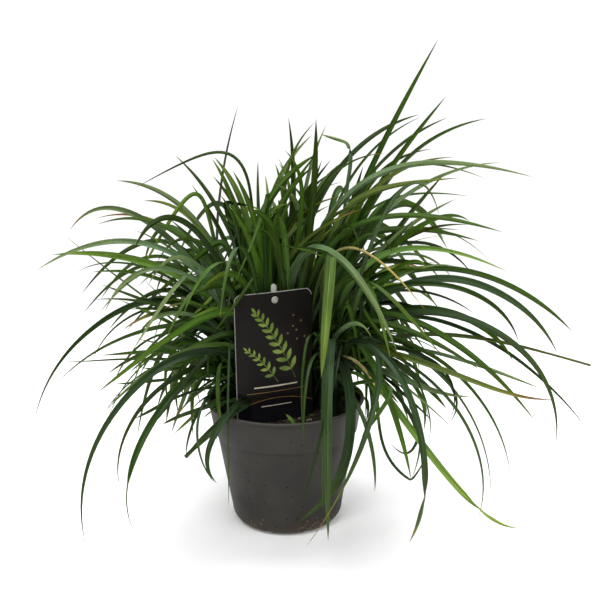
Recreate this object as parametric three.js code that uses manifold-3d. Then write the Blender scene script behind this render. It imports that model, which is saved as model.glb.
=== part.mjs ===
// A carex sedge in its round nursery pot. Millimetres, +Z up, the origin at the middle of the pot's base.
// The front, where the label stands, faces -Y.
import * as THREE from "three";
import { mergeVertices } from "three/addons/utils/BufferGeometryUtils.js";
import Module from "manifold-3d";

const wasm = await Module();
wasm.setup();

// Pot: a 17 cm container, tapered, with a collar one step wider than the body.
const POT_HEIGHT = 137;
const RIM_RADIUS = 85;
const RIM_DEPTH = 2.6;
const RIM_EDGE = 0.5;
const COLLAR_TOP_RADIUS = 83;
const COLLAR_FOOT_RADIUS = 77.5;
const COLLAR_FOOT_HEIGHT = 102;
const COLLAR_STEP = 0.9;
const BODY_TOP_RADIUS = 75;
const BODY_FOOT_RADIUS = 60.5;
const BASE_RADIUS = 47;
const BASE_CORNER = { height: 15, steps: 4 };
const WALL = 1.8;
const POT_SIDES = 36;
const DRAIN_SLOTS = 8;
const DRAIN_SLOT = { width: 9, length: 13, height: 4, middle: 52 };

// Soil, 15 mm below the rim.
const SOIL_TOP = 122;
const FIT_GAP = 0.3;

// Crown: tufts spread over a disc by the golden angle, behind the label.
const CROWN = { x: 3, y: 7, radius: 60 };
const TUFT_SPREAD = 10.6;
const GOLDEN_ANGLE = Math.PI * (3 - Math.sqrt(5));
const STEM = { depth: 12, height: 13, footRadius: 5.4, topRadius: 4.8, sides: 7 };
// Each tuft has places for its leaves in two rings, and the leaves' roots are sunk into its stem.
const LEAF_ROOT = { sunk: 7, ring: 3.4, ringCount: 8, innerRing: 1.3, innerCount: 3, width: 1.5 };

// Label: a bowed card on a stake, turned so that its right side stands further back.
const CARD = { width: 85, height: 156, thickness: 0.9, corner: 12, bow: 3.5, sunk: 17, sides: 10 };
const CARD_PLACE = { x: -9.5, y: -34, turn: 22 };
const CARD_CLEARANCE = 4;
const HOLE = { radius: 2.4, below: 8 };
const STAKE = { width: 6, thickness: 1.6, above: 8, sunk: 40 };
const STUD = { radius: 2, headRadius: 3.6, neckRadius: 2.5, headHeight: 1.4, sunk: 0.4, sides: 12 };

// A leaf's curve: how its root's and its tip's handles share its height or, in a free curve, its reach.
const EARLY_CREST = 1.25;
const HANGING_FALL = 80;
const RISE_HANDLE = 0.36;
const TIP_HANDLE = 0.38;

// A leaf's blade: the shares of its length where it has swollen to its width and starts to narrow,
// and the depth of the keel under it.
const LEAST_WIDTH = 2.4;
const SWOLLEN_AT = 0.28;
const NARROWS_FROM = 0.5;
const NARROWING_POWER = 2.4;
const KEEL = { share: 0.2, least: 1, most: 1.5, lossToTip: 0.4 };
const RINGS = { thin: 5, usual: 6, hanging: 7, thinBelow: 3, hangingFrom: 60 };
const TURN = { least: 32, range: 34, towardFront: 0.8, startShare: 0.5, doneAt: 0.5 };

// A folded leaf: where along it the fold comes, the elbow below the fold, and its rings.
const FOLD = { at: 0.6, outward: 4, elbowAcross: 0.3, elbowUp: 0.75, turnShare: 0.5 };
const FOLD_KNOTS = [0, 0.15, 0.3, 0.45, 0.56, 0.6, 0.65, 0.8, 0.92];

// How clear a leaf stays of another tuft's leaves and of its own tuft's, and how many places it tries.
const LEAF_GAP = 0.45;
const SISTER_GAP = 0.1;
const SLOT_TRIES = 5;
const TUFT_TRIES = 8;
const FILL_TUFT_TRIES = 4;
const SIDE_SHIFTS = [0, 9, -9, 18, -18, 27, -27];
const HEADING_SHIFTS = [0, 6, -6, 12, -12];
const ROOT_SHARE = 0.5;
const SEED = 20177;

// The filling: three habits, from upright to low. Each pair is a least value and what a draw adds to it.
// Reach and height are the tip's, the crest is the height halfway along, and rootShare is how far out
// from the crown's middle the leaf starts.
const FILL_LEAVES = 240;
const HEADING_JITTER = 0.3;
const BACK_REACH = 0.82;
const ROOT_JITTER = 0.2;
const AIM_DISTANCE = 300;
const CREST = [25, 60];
const FILL_WIDTH = { least: 3, range: 4, power: 1.3 };
const HABITS = [
  { reach: [30, 95], height: [310, 120], lowestCrest: 0, rise: [84, -6], fall: [-60, 60], rootShare: 0.35 },
  { reach: [130, 125], height: [150, 140], lowestCrest: 175, rise: [83, -6], fall: [35, 40], rootShare: 0.6 },
  { reach: [100, 105], height: [45, 110], lowestCrest: 145, rise: [78, -6], fall: [70, 35], rootShare: 0.9 },
];

const COLOURS = {
  pot: 0x46433f,
  soil: 0x1d1612,
  card: 0x1d1a1a,
  stake: 0xb9b6ae,
  straw: 0xa58a4e,
  leaf: 0x3d6424,
};

// Leaves that give the plant its outline. Each row: the tip's x, y and z, the leaf's rise at its root and
// its fall at the tip in degrees, its height halfway along (0 leaves it to the handles), its width, and
// where they matter the place of its root (x, y) and its sideways bow.
const LEFT_LEAVES = [
  [-160, 40, 358, 90, 28, 380, 2.5],
  [-180, 60, 366, 88, 0, 0, 4.8],
  [-215, -20, 325, 82, 54, 0, 5.4],
  [-195, 10, 332, 85, 18, 0, 3.8],
  [-185, -30, 332, 85, 20, 0, 3.8],
  [-150, 50, 345, 90, 5, 0, 4.5],
  [-115, 60, 393, 88, -38, 0, 4],
  [-95, 30, 364, 88, -55, 0, 6],
  [-45, 70, 445, 90, -100, 0, 2.4, -50, 25, 45],
  [-240, -60, 293, 85, 32, 300, 4.8],
  [-230, -40, 304, 88, 5, 272, 7.2],
  [-230, 20, 314, 62, -42, 0, 2.4],
  [-215, 0, 278, 85, 30, 262, 2.4],
  [-140, -90, 316, 88, 62, 312, 5],
  [-195, -20, 282, 88, 2, 250, 3.6],
  [-185, -30, 271, 85, -24, 0, 3.4],
  [-190, -50, 260, 85, 0, 0, 3.6],
  [-165, -120, 264, 85, 62, 282, 3.6],
  [-160, 40, 315, 86, -20, 0, 2.8],
  [-75, -120, 285, 90, 12, 268, 6.2],
  [-265, -30, 119, 88, 79, 248, 5.6],
  [-230, -60, 176, 80, 46, 229, 5],
  [-195, -20, 193, 75, 0, 192, 4.4],
  [-250, 30, 172, 72, -8, 172, 2.4],
  [-175, -130, 190, 90, 28, 245, 7.8],
  [-170, -120, 168, 82, 38, 212, 6.8],
  [-190, -150, 41, 78, 100, 200, 6.8],
  [-145, -150, 60, 72, 118, 176, 5.4],
  [-160, -120, 84, 74, 105, 184, 4.4],
  [-150, -80, 145, 68, 12, 160, 3.2],
  [-120, -130, 162, 82, 45, 210, 4.4],
  [-120, -100, 146, 62, 5, 150, 3.4],
  [-185, -60, 140, 78, 65, 195, 2.4],
  [-210, 0, 171, 82, 70, 235, 2.4],
];
const TOP_LEAVES = [
  [8, 20, 433, 88, -100, 0, 6.5, -15, 10],
  [35, 70, 412, 92, -30, 0, 5, -25, 30],
  [35, -20, 433, 90, -90, 0, 6, 30, 5],
  [38, -10, 398, 92, -28, 0, 7, -35, 5],
  [33, 0, 384, 92, -35, 0, 7, -15, 0],
  [150, 60, 432, 90, -12, 0, 5, -5, 30],
  [155, 80, 429, 88, -18, 0, 2.4, 15, 30],
  [165, 40, 510, 80, -60, 0, 7.6],
  [173, 30, 452, 78, -48, 0, 4.6],
  [182, 70, 428, 84, -18, 0, 3.2],
  [220, 50, 427, 84, -8, 0, 4.6],
  [158, 20, 398, 86, -5, 0, 4.6],
  [178, 0, 391, 88, 0, 0, 4.6],
  [233, 30, 382, 84, 0, 0, 4.4],
  [260, 0, 369, 90, 16, 362, 7.2],
  [221, 50, 363, 90, 22, 355, 2.4],
  [175, -40, 374, 90, -5, 330, 5.6],
  [206, 60, 343, 88, 10, 320, 2.4],
  [176, -20, 351, 84, -26, 0, 4.4],
  [153, -60, 337, 86, 76, 335, 3],
  [182, -60, 334, 85, 30, 280, 4.6],
  [184, -50, 329, 84, 0, 0, 3.8],
  [166, -10, 376, 78, -48, 0, 5.4],
  [108, 0, 396, 90, 0, 0, 4, 10, 5],
  [-25, 50, 387, 95, -95, 0, 4.4, -20, 25],
];
const RIGHT_LEAVES = [
  [107, -110, 217, 98, 62, 305, 7.2, 0, 0],
  [147, -120, 217, 88, 38, 276, 7.2],
  [54, -60, 296, 95, 10, 290, 2.4, -20, 0],
  [84, -90, 227, 84, 45, 215, 3.8],
  [253, -130, 175, 88, -14, 195, 6.2],
  [209, -190, 75, 83, -25, 149, 7],
  [167, -60, 126, 76, 112, 198, 2.8],
  [167, -90, 131, 74, 27, 172, 2.6],
  [192, -90, 28, 78, 108, 185, 3.8],
  [239, -40, 51, 78, 84, 192, 3.6],
  [213, -60, 35, 78, 92, 190, 3.2],
  [252, -80, 131, 82, 52, 228, 7.2],
  [199, -60, 181, 82, 32, 225, 6],
  [325, -20, 98, 80, 56, 215, 3.4],
  [320, -30, 175, 80, 15, 205, 3.8],
  [269, -90, 109, 80, 95, 235, 7.2],
  [226, -40, 279, 90, 25, 290, 5.2],
  [230, 60, 271, 86, 46, 300, 2.4],
  [303, -20, 208, 82, 48, 275, 5.4],
  [205, 10, 260, 84, 58, 290, 3],
  [279, -50, 193, 84, 66, 268, 6.6],
  [230, -80, 216, 86, 74, 265, 4.4],
  [186, 30, 254, 82, 58, 272, 2.6],
  [203, 0, 225, 80, 38, 245, 2.4],
];
const FRONT_LEAVES = [
  [-95, -130, 124, 68, 30, 158, 6.2, -50, 5, -20],
  [-70, -110, 87, 68, 120, 165, 4.8, -50, 5, -32],
  [115, -150, 41, 80, 122, 208, 7.2],
  [38, -150, 44, 84, 98, 215, 7, 38, -5],
  [7, -150, 63, 82, 95, 205, 7.4, 44, 0, 48],
  [86, -110, 74, 72, 97, 172, 3.4],
  [15, -160, 42, 80, 85, 200, 5, 48, 5, 105],
  [122, -110, 86, 86, 75, 205, 5.6],
  [123, -100, 82, 80, 115, 205, 2.4],
];
// Leaves that fold over: the root's x and y, the fold's x, y and z, the tip's x, y and z, and the width.
const FOLDED_LEAVES = [
  [30, 0, 45, -108, 312, 34, -118, 196, 9.5],
  [-30, 0, -62, 0, 350, -32, -4, 345, 6],
  [-40, 12, -56, 22, 340, -33, 18, 325, 4],
  [42, 15, 76, 26, 402, 42, 30, 414, 4],
  [45, 0, 108, -105, 186, 71, -130, 141, 4],
];
// The leaves of the one tuft that has dried to straw.
const DRY_SPOT = { x: 26, y: 2 };
const DRY_ROWS = [
  [136, -90, 253, 92, 46, 300, 3.2],
  [100, -60, 150, 72, 60, 190, 3],
  [60, 90, 170, 76, 50, 215, 3],
  [0, 60, 300, 86, -30, 0, 2.6],
];

const degrees = THREE.MathUtils.degToRad;
const point = (x, y, z) => new THREE.Vector3(x, y, z);
const UP = point(0, 0, 1);

// The same run of numbers from 0 to 1 for one seed.
function seeded(seed) {
  let state = seed;
  return () => {
    state = (state + 0x6d2b79f5) | 0;
    let mixed = Math.imul(state ^ (state >>> 15), 1 | state);
    mixed = (mixed + Math.imul(mixed ^ (mixed >>> 7), 61 | mixed)) ^ mixed;
    return ((mixed ^ (mixed >>> 14)) >>> 0) / 2 ** 32;
  };
}

// ---- Solids ----

function solidOf(geometry) {
  const bare = geometry.clone();
  bare.deleteAttribute("normal");
  bare.deleteAttribute("uv");
  const merged = mergeVertices(bare, 1e-4);
  const vertProperties = new Float32Array(merged.getAttribute("position").array);
  const triVerts = new Uint32Array(merged.index.array);
  return new wasm.Manifold(new wasm.Mesh({ numProp: 3, vertProperties, triVerts }));
}

function meshOf(name, solid, colour, roughness) {
  const { vertProperties, triVerts } = solid.getMesh();
  const geometry = new THREE.BufferGeometry();
  geometry.setAttribute("position", new THREE.BufferAttribute(vertProperties, 3));
  geometry.setIndex(new THREE.BufferAttribute(triVerts, 1));
  geometry.computeVertexNormals();
  const material = new THREE.MeshStandardMaterial({ color: colour, roughness, metalness: 0 });
  const mesh = new THREE.Mesh(geometry, material);
  mesh.name = name;
  return mesh;
}

const union = (solids) => solids.reduce((whole, next) => whole.add(next));
const difference = (solid, cuts) => cuts.reduce((left, cut) => left.subtract(cut), solid);

// A lathe turns its profile round Y, so it is stood up to turn round Z.
function turned(profile, sides) {
  const points = profile.map(([radius, height]) => new THREE.Vector2(radius, height));
  return solidOf(new THREE.LatheGeometry(points, sides).rotateX(Math.PI / 2));
}

function uprightCylinder(x, y, foot, top, footRadius, topRadius, sides) {
  const geometry = new THREE.CylinderGeometry(topRadius, footRadius, top - foot, sides);
  geometry.rotateX(Math.PI / 2);
  geometry.translate(x, y, (top + foot) / 2);
  return solidOf(geometry);
}

// ---- Pot and soil ----

// The rounded corner from the base to the side, as a quarter of an ellipse.
function baseCorner(inset) {
  const across = BODY_FOOT_RADIUS - BASE_RADIUS - inset;
  const corner = [];
  for (let step = 0; step <= BASE_CORNER.steps; step++) {
    const angle = (step / BASE_CORNER.steps) * (Math.PI / 2);
    const radius = BASE_RADIUS + across * Math.sin(angle);
    const height = BASE_CORNER.height * (1 - Math.cos(angle)) + inset * Math.cos(angle);
    corner.push([radius, height]);
  }
  return corner;
}

function potSolid() {
  const lipFoot = POT_HEIGHT - RIM_DEPTH;
  const outside = [
    [0, 0],
    ...baseCorner(0),
    [BODY_TOP_RADIUS, COLLAR_FOOT_HEIGHT - COLLAR_STEP],
    [COLLAR_FOOT_RADIUS, COLLAR_FOOT_HEIGHT],
    [COLLAR_TOP_RADIUS, lipFoot],
    [RIM_RADIUS, lipFoot + RIM_EDGE],
    [RIM_RADIUS, POT_HEIGHT - RIM_EDGE],
    [RIM_RADIUS - RIM_EDGE, POT_HEIGHT],
  ];
  const inside = [
    [COLLAR_TOP_RADIUS - WALL, POT_HEIGHT],
    [COLLAR_FOOT_RADIUS - WALL, COLLAR_FOOT_HEIGHT + WALL],
    [BODY_TOP_RADIUS - WALL, COLLAR_FOOT_HEIGHT - COLLAR_STEP],
    ...baseCorner(WALL).reverse(),
    [0, WALL],
  ];
  const slots = [];
  for (let slot = 0; slot < DRAIN_SLOTS; slot++) {
    const box = new THREE.BoxGeometry(DRAIN_SLOT.length, DRAIN_SLOT.width, 2 * DRAIN_SLOT.height);
    box.translate(DRAIN_SLOT.middle, 0, 0);
    box.rotateZ(((slot + 0.5) * 2 * Math.PI) / DRAIN_SLOTS);
    slots.push(solidOf(box));
  }
  return difference(turned([...outside, ...inside], POT_SIDES), slots);
}

// The soil fills the pot to just inside its wall, with the given holes in it.
function soilSolid(holes) {
  const inset = WALL + FIT_GAP;
  const climb = (SOIL_TOP - COLLAR_FOOT_HEIGHT) / (POT_HEIGHT - RIM_DEPTH - COLLAR_FOOT_HEIGHT);
  const wallAtTop = THREE.MathUtils.lerp(COLLAR_FOOT_RADIUS, COLLAR_TOP_RADIUS, climb);
  const profile = [
    [0, inset],
    ...baseCorner(inset),
    [BODY_TOP_RADIUS - inset, COLLAR_FOOT_HEIGHT - COLLAR_STEP],
    [COLLAR_FOOT_RADIUS - inset, COLLAR_FOOT_HEIGHT + inset],
    [wallAtTop - inset - FIT_GAP, SOIL_TOP],
    [0, SOIL_TOP],
  ];
  return difference(turned(profile, POT_SIDES), holes);
}

// ---- Label ----

const cardTurn = new THREE.Matrix4()
  .makeRotationZ(degrees(CARD_PLACE.turn))
  .setPosition(CARD_PLACE.x, CARD_PLACE.y, SOIL_TOP - CARD.sunk);

// The card stands on z = 0 before it is placed. Its columns crowd toward the rounded corners.
function cardSolid(grow) {
  const half = CARD.width / 2 + grow;
  const thickness = CARD.thickness + 2 * grow;
  const height = CARD.height + grow;
  const box = new THREE.BoxGeometry(2 * half, thickness, height, CARD.sides, 1, 1);
  const place = box.getAttribute("position");
  for (let index = 0; index < place.count; index++) {
    const share = Math.sin((place.getX(index) / half) * (Math.PI / 2));
    const x = half * share;
    const intoCorner = Math.max(0, Math.abs(x) - (half - CARD.corner));
    const drop = CARD.corner - Math.sqrt(CARD.corner ** 2 - intoCorner ** 2);
    const top = place.getZ(index) > 0;
    place.setXYZ(index, x, place.getY(index) + CARD.bow * share ** 2, top ? height - drop - grow : -grow);
  }
  return solidOf(box);
}

const placed = (solid) => solid.transform(cardTurn.elements);
const holeHeight = CARD.height - HOLE.below;

function labelCard() {
  const hole = new THREE.CylinderGeometry(HOLE.radius, HOLE.radius, 4 * CARD.thickness, STUD.sides);
  hole.translate(0, 0, holeHeight);
  return placed(cardSolid(0).subtract(solidOf(hole)));
}

function stakeStrip(grow) {
  const foot = CARD.sunk - STAKE.sunk;
  const top = CARD.height + STAKE.above;
  const width = STAKE.width + 2 * grow;
  const strip = new THREE.BoxGeometry(width, STAKE.thickness + 2 * grow, top - foot + 2 * grow);
  const back = CARD.thickness / 2 + FIT_GAP + STAKE.thickness / 2;
  strip.translate(0, back, (top + foot) / 2);
  return solidOf(strip);
}

// The stake behind the card, with a stud through the card's hole and a head in front of it.
function labelStake() {
  const front = -CARD.thickness / 2 - FIT_GAP;
  const back = CARD.thickness / 2 + FIT_GAP + STAKE.thickness / 2;
  const stud = new THREE.CylinderGeometry(STUD.radius, STUD.radius, back - front + STUD.sunk, STUD.sides);
  stud.translate(0, (front + back - STUD.sunk) / 2, holeHeight);
  const head = new THREE.CylinderGeometry(STUD.headRadius, STUD.neckRadius, STUD.headHeight, STUD.sides);
  head.translate(0, front - STUD.headHeight / 2, holeHeight);
  return placed(union([stakeStrip(0), solidOf(stud), solidOf(head)]));
}

// ---- Leaves ----

// A leaf's blade is a three-sided sweep: two edges above and a keel below.
// It narrows to its root and to its tip, and turns about its own line.
class Leaf {
  constructor(line, heading, width, turn, knots) {
    this.line = line;
    this.side = point(-heading.y, heading.x, 0).normalize();
    this.width = Math.max(width, LEAST_WIDTH);
    this.keel = THREE.MathUtils.clamp(KEEL.share * width, KEEL.least, KEEL.most);
    this.turn = turn;
    this.knots = knots;
  }

  widthAt(t) {
    const swelling = THREE.MathUtils.smoothstep(t, 0, SWOLLEN_AT);
    const narrowing = 1 - Math.max(0, (t - NARROWS_FROM) / (1 - NARROWS_FROM)) ** NARROWING_POWER;
    return THREE.MathUtils.lerp(LEAF_ROOT.width, this.width, swelling) * narrowing;
  }

  // The blade's frame at t: its middle, the direction of its left edge, and the way that its upper
  // face looks.
  frameAt(t) {
    const step = 1e-3;
    const middle = this.line(t);
    const ahead = this.line(t + step).sub(this.line(t - step)).normalize();
    const across = this.side.clone().addScaledVector(ahead, -this.side.dot(ahead)).normalize();
    const above = ahead.clone().cross(across);
    const share = THREE.MathUtils.smoothstep(t, 0, TURN.doneAt);
    const angle = this.turn * THREE.MathUtils.lerp(TURN.startShare, 1, share);
    const left = across.clone().multiplyScalar(Math.cos(angle)).addScaledVector(above, Math.sin(angle));
    const up = above.multiplyScalar(Math.cos(angle)).addScaledVector(across, -Math.sin(angle));
    return { middle, left, up };
  }

  // The blade as a closed solid, grown outwards where its clearance is tested.
  solid(grow = 0) {
    const corners = [];
    for (const t of this.knots) {
      const { middle, left, up } = this.frameAt(t);
      const half = this.widthAt(t) / 2 + grow;
      const keel = this.keel * (1 - KEEL.lossToTip * t) + grow;
      const lifted = middle.clone().addScaledVector(up, grow);
      corners.push(lifted.clone().addScaledVector(left, half));
      corners.push(middle.clone().addScaledVector(up, -keel));
      corners.push(lifted.clone().addScaledVector(left, -half));
    }
    corners.push(this.line(1));
    const faces = [0, 1, 2];
    const last = corners.length - 1;
    for (let ring = 0; ring < last; ring += 3) {
      for (let corner = 0; corner < 3; corner++) {
        const here = ring + corner;
        const next = ring + ((corner + 1) % 3);
        if (ring + 3 === last) faces.push(here, last, next);
        else faces.push(here, next + 3, next, here, here + 3, next + 3);
      }
    }
    const geometry = new THREE.BufferGeometry().setFromPoints(corners);
    geometry.setIndex(faces);
    return solidOf(geometry);
  }
}

const evenKnots = (count) => Array.from({ length: count }, (_, knot) => knot / count);

const rootHeight = SOIL_TOP + STEM.height - LEAF_ROOT.sunk;
const rootOf = (tuft, slot) => point(tuft.x + slot.x, tuft.y + slot.y, rootHeight);

function ringsFor(width, fall) {
  if (width < RINGS.thinBelow) return RINGS.thin;
  return fall >= RINGS.hangingFrom ? RINGS.hanging : RINGS.usual;
}

// An arching leaf: a cubic curve that rises from the tuft and comes down, or runs out, to its tip.
// Its handles are worked out so that it is as high as asked halfway along.
function archingLeaf(tuft, slot, shape) {
  const { tip, rise, fall, middle, width, bow, turn } = shape;
  const heading = point(tip.x - tuft.x, tip.y - tuft.y, 0).normalize();
  const root = rootOf(tuft, slot);
  const up = point(0, 0, Math.sin(degrees(rise))).addScaledVector(heading, Math.cos(degrees(rise)));
  const down = point(0, 0, -Math.sin(degrees(fall))).addScaledVector(heading, Math.cos(degrees(fall)));
  const reach = root.distanceTo(tip);
  let lift = RISE_HANDLE * reach;
  let hang = TIP_HANDLE * reach;
  if (middle > 0) {
    const early = fall < HANGING_FALL ? EARLY_CREST : 1;
    const climb = early * up.z - (2 - early) * down.z;
    const handle = (8 * middle - 4 * root.z - 4 * tip.z) / (3 * climb);
    lift = early * handle;
    hang = (2 - early) * handle;
  }
  const sideways = point(-heading.y, heading.x, 0);
  const first = root.clone().addScaledVector(up, lift).addScaledVector(sideways, bow / 2);
  const second = tip.clone().addScaledVector(down, -hang).addScaledVector(sideways, bow);
  const curve = new THREE.CubicBezierCurve3(root, first, second, tip);
  return new Leaf((t) => curve.getPoint(t), heading, width, turn, evenKnots(ringsFor(width, fall)));
}

// A folded leaf: it climbs to its fold, and hangs or lies over from there.
function foldedLeaf(tuft, slot, shape) {
  const { fold, tip, width, turn } = shape;
  const heading = point(fold.x - tuft.x, fold.y - tuft.y, 0).normalize();
  const root = rootOf(tuft, slot);
  const elbow = point(
    root.x + FOLD.elbowAcross * (fold.x - root.x),
    root.y + FOLD.elbowAcross * (fold.y - root.y),
    root.z + FOLD.elbowUp * (fold.z - root.z),
  );
  const outward = fold.clone().lerp(tip, 0.5).addScaledVector(heading, FOLD.outward);
  const climb = new THREE.QuadraticBezierCurve3(root, elbow, fold);
  const over = new THREE.QuadraticBezierCurve3(fold, outward, tip);
  const line = (t) =>
    t < FOLD.at ? climb.getPoint(t / FOLD.at) : over.getPoint((t - FOLD.at) / (1 - FOLD.at));
  return new Leaf(line, heading, width, turn, FOLD_KNOTS);
}

// ---- Tufts ----

// True where a tuft would stand in the label or in front of it.
function besideLabel(x, y) {
  const spot = new THREE.Vector2(x - CARD_PLACE.x, y - CARD_PLACE.y);
  spot.rotateAround(new THREE.Vector2(), -degrees(CARD_PLACE.turn));
  const clear = CARD_CLEARANCE + STEM.footRadius;
  return Math.abs(spot.x) < CARD.width / 2 + clear && spot.y < CARD.bow + clear;
}

function ringOf(radius, count, shift) {
  return Array.from({ length: count }, (_, index) => {
    const angle = ((index + shift) * 2 * Math.PI) / count;
    return { x: radius * Math.cos(angle), y: radius * Math.sin(angle) };
  });
}

class Tuft {
  constructor(x, y) {
    this.x = x;
    this.y = y;
    this.leaves = [];
    this.stem = this.post(0);
    this.slots = [
      ...ringOf(LEAF_ROOT.ring, LEAF_ROOT.ringCount, 0),
      ...ringOf(LEAF_ROOT.innerRing, LEAF_ROOT.innerCount, 0.5),
    ];
  }

  // The free places for a leaf, from the one furthest toward a heading to the one behind.
  slotsToward(x, y) {
    const ahead = point(x - this.x, y - this.y, 0).normalize();
    const score = (slot) => slot.x * ahead.x + slot.y * ahead.y;
    return [...this.slots].sort((a, b) => score(b) - score(a));
  }

  post(grow) {
    const foot = SOIL_TOP - STEM.depth - grow;
    const top = SOIL_TOP + STEM.height + grow;
    const footRadius = STEM.footRadius + grow;
    const topRadius = STEM.topRadius + grow;
    return uprightCylinder(this.x, this.y, foot, top, footRadius, topRadius, STEM.sides);
  }

  // One body: a hollow that the crossing leaves seal is filled.
  solid() {
    const shells = union([this.stem, ...this.leaves]).decompose();
    return shells.reduce((largest, shell) => (shell.volume() > largest.volume() ? shell : largest));
  }
}

function crownTufts() {
  const tufts = [];
  for (let index = 0; ; index++) {
    const radius = TUFT_SPREAD * Math.sqrt(index + 0.5);
    if (radius > CROWN.radius) return tufts;
    const x = CROWN.x + radius * Math.cos(index * GOLDEN_ANGLE);
    const y = CROWN.y + radius * Math.sin(index * GOLDEN_ANGLE);
    if (!besideLabel(x, y)) tufts.push(new Tuft(x, y));
  }
}

function boxesMeet(a, b) {
  return [0, 1, 2].every((axis) => a.min[axis] <= b.max[axis] && b.min[axis] <= a.max[axis]);
}

function meetsAny(solid, others) {
  const box = solid.boundingBox();
  const meets = others.some((other) => {
    if (!boxesMeet(box, other.boundingBox())) return false;
    const shared = solid.intersect(other);
    const touching = !shared.isEmpty();
    shared.delete();
    return touching;
  });
  solid.delete();
  return meets;
}

// The plant as it grows: it takes a leaf into a tuft only where the leaf stays clear of every other piece.
class Plant {
  constructor(tufts, fixed) {
    this.tufts = tufts;
    this.fixed = fixed;
    this.open = tufts;
  }

  // Only these tufts take the leaves that follow.
  openTo(tufts) {
    this.open = tufts;
  }

  isClear(tuft, leaf) {
    const others = this.tufts.filter((other) => other !== tuft);
    const solids = [...this.fixed, ...others.flatMap((other) => [other.stem, ...other.leaves])];
    return !meetsAny(leaf.solid(LEAF_GAP), solids) && !meetsAny(leaf.solid(SISTER_GAP), tuft.leaves);
  }

  // Tries the given changes, the tufts nearest to a spot, and the places in each tuft, in turn.
  // A leaf that finds no clear place is left out.
  grow(spot, aim, make, choices, changes) {
    const near = [...this.open].sort((a, b) => distance(a, spot) - distance(b, spot)).slice(0, choices);
    for (const change of changes) {
      for (const tuft of near) {
        for (const slot of tuft.slotsToward(aim.x, aim.y).slice(0, SLOT_TRIES)) {
          const leaf = make(tuft, slot, change);
          if (this.isClear(tuft, leaf)) {
            tuft.leaves.push(leaf.solid());
            tuft.slots.splice(tuft.slots.indexOf(slot), 1);
            return;
          }
        }
      }
    }
  }
}

const distance = (a, b) => Math.hypot(a.x - b.x, a.y - b.y);

// A spot in the crown on the side that a leaf heads to.
function spotToward(x, y, share) {
  const angle = Math.atan2(y - CROWN.y, x - CROWN.x);
  return {
    x: CROWN.x + share * CROWN.radius * Math.cos(angle),
    y: CROWN.y + share * CROWN.radius * Math.sin(angle),
  };
}

// Blades turn mostly so that their upper face shows to the front.
function turnOf(random, headingX) {
  const toward = random() < TURN.towardFront ? 1 : -1;
  const size = TURN.least + TURN.range * random();
  return degrees(toward * size * (headingX < 0 ? 1 : -1));
}

function growRows(plant, random, rows, choices) {
  for (const [x, y, z, rise, fall, middle, width, rootX, rootY, bow = 0] of rows) {
    const spot = rootX === undefined ? spotToward(x, y, ROOT_SHARE) : { x: rootX, y: rootY };
    const shape = { tip: point(x, y, z), rise, fall, middle, width, turn: turnOf(random, x) };
    const make = (tuft, slot, change) => archingLeaf(tuft, slot, { ...shape, bow: bow + change });
    plant.grow(spot, shape.tip, make, choices, SIDE_SHIFTS);
  }
}

function growFolded(plant, random) {
  for (const [rootX, rootY, foldX, foldY, foldZ, x, y, z, width] of FOLDED_LEAVES) {
    const turn = FOLD.turnShare * turnOf(random, foldX);
    const shape = { fold: point(foldX, foldY, foldZ), tip: point(x, y, z), width, turn };
    const make = (tuft, slot) => foldedLeaf(tuft, slot, shape);
    plant.grow({ x: rootX, y: rootY }, shape.fold, make, TUFT_TRIES, [0]);
  }
}

const within = ([least, range], draw) => least + range * draw;

// The rest of the leaves: headings go round by the golden angle, and the habits take turns.
function growFilling(plant, random) {
  for (let index = 0; index < FILL_LEAVES; index++) {
    const heading = index * GOLDEN_ANGLE + HEADING_JITTER * (random() - 0.5);
    const draw = Array.from({ length: 6 }, random);
    const habit = HABITS[index % HABITS.length];
    const reach = within(habit.reach, draw[0]) * (Math.sin(heading) > 0 ? 1 : BACK_REACH);
    const height = within(habit.height, draw[1]);
    const crest = Math.max(height, habit.lowestCrest) + within(CREST, draw[2]);
    const shape = {
      rise: within(habit.rise, draw[3]),
      fall: within(habit.fall, draw[4]),
      middle: habit.lowestCrest > 0 ? crest : 0,
      width: FILL_WIDTH.least + FILL_WIDTH.range * draw[5] ** FILL_WIDTH.power,
      turn: turnOf(random, Math.cos(heading)),
      bow: 0,
    };
    const make = (tuft, slot, change) => {
      const angle = heading + degrees(change);
      const tip = point(CROWN.x + reach * Math.cos(angle), CROWN.y + reach * Math.sin(angle), height);
      return archingLeaf(tuft, slot, { ...shape, tip });
    };
    const aim = point(Math.cos(heading), Math.sin(heading), 0).multiplyScalar(AIM_DISTANCE);
    const share = habit.rootShare + ROOT_JITTER * (draw[2] - 0.5);
    const spot = spotToward(CROWN.x + aim.x, CROWN.y + aim.y, share);
    plant.grow(spot, aim, make, FILL_TUFT_TRIES, HEADING_SHIFTS);
  }
}

// ---- The whole ----

const card = labelCard();
const stake = labelStake();
const pot = potSolid();
const tufts = crownTufts();
const [dryTuft] = [...tufts].sort((a, b) => distance(a, DRY_SPOT) - distance(b, DRY_SPOT));
const plant = new Plant(tufts, [card, stake, pot]);
const random = seeded(SEED);
plant.openTo([dryTuft]);
growRows(plant, random, DRY_ROWS, 1);
plant.openTo(tufts.filter((tuft) => tuft !== dryTuft));
growFolded(plant, random);
growRows(plant, random, [...FRONT_LEAVES, ...RIGHT_LEAVES, ...LEFT_LEAVES, ...TOP_LEAVES], TUFT_TRIES);
growFilling(plant, random);

const holes = plant.tufts.map((tuft) => tuft.post(FIT_GAP));
holes.push(placed(cardSolid(FIT_GAP)), placed(stakeStrip(FIT_GAP)));

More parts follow.
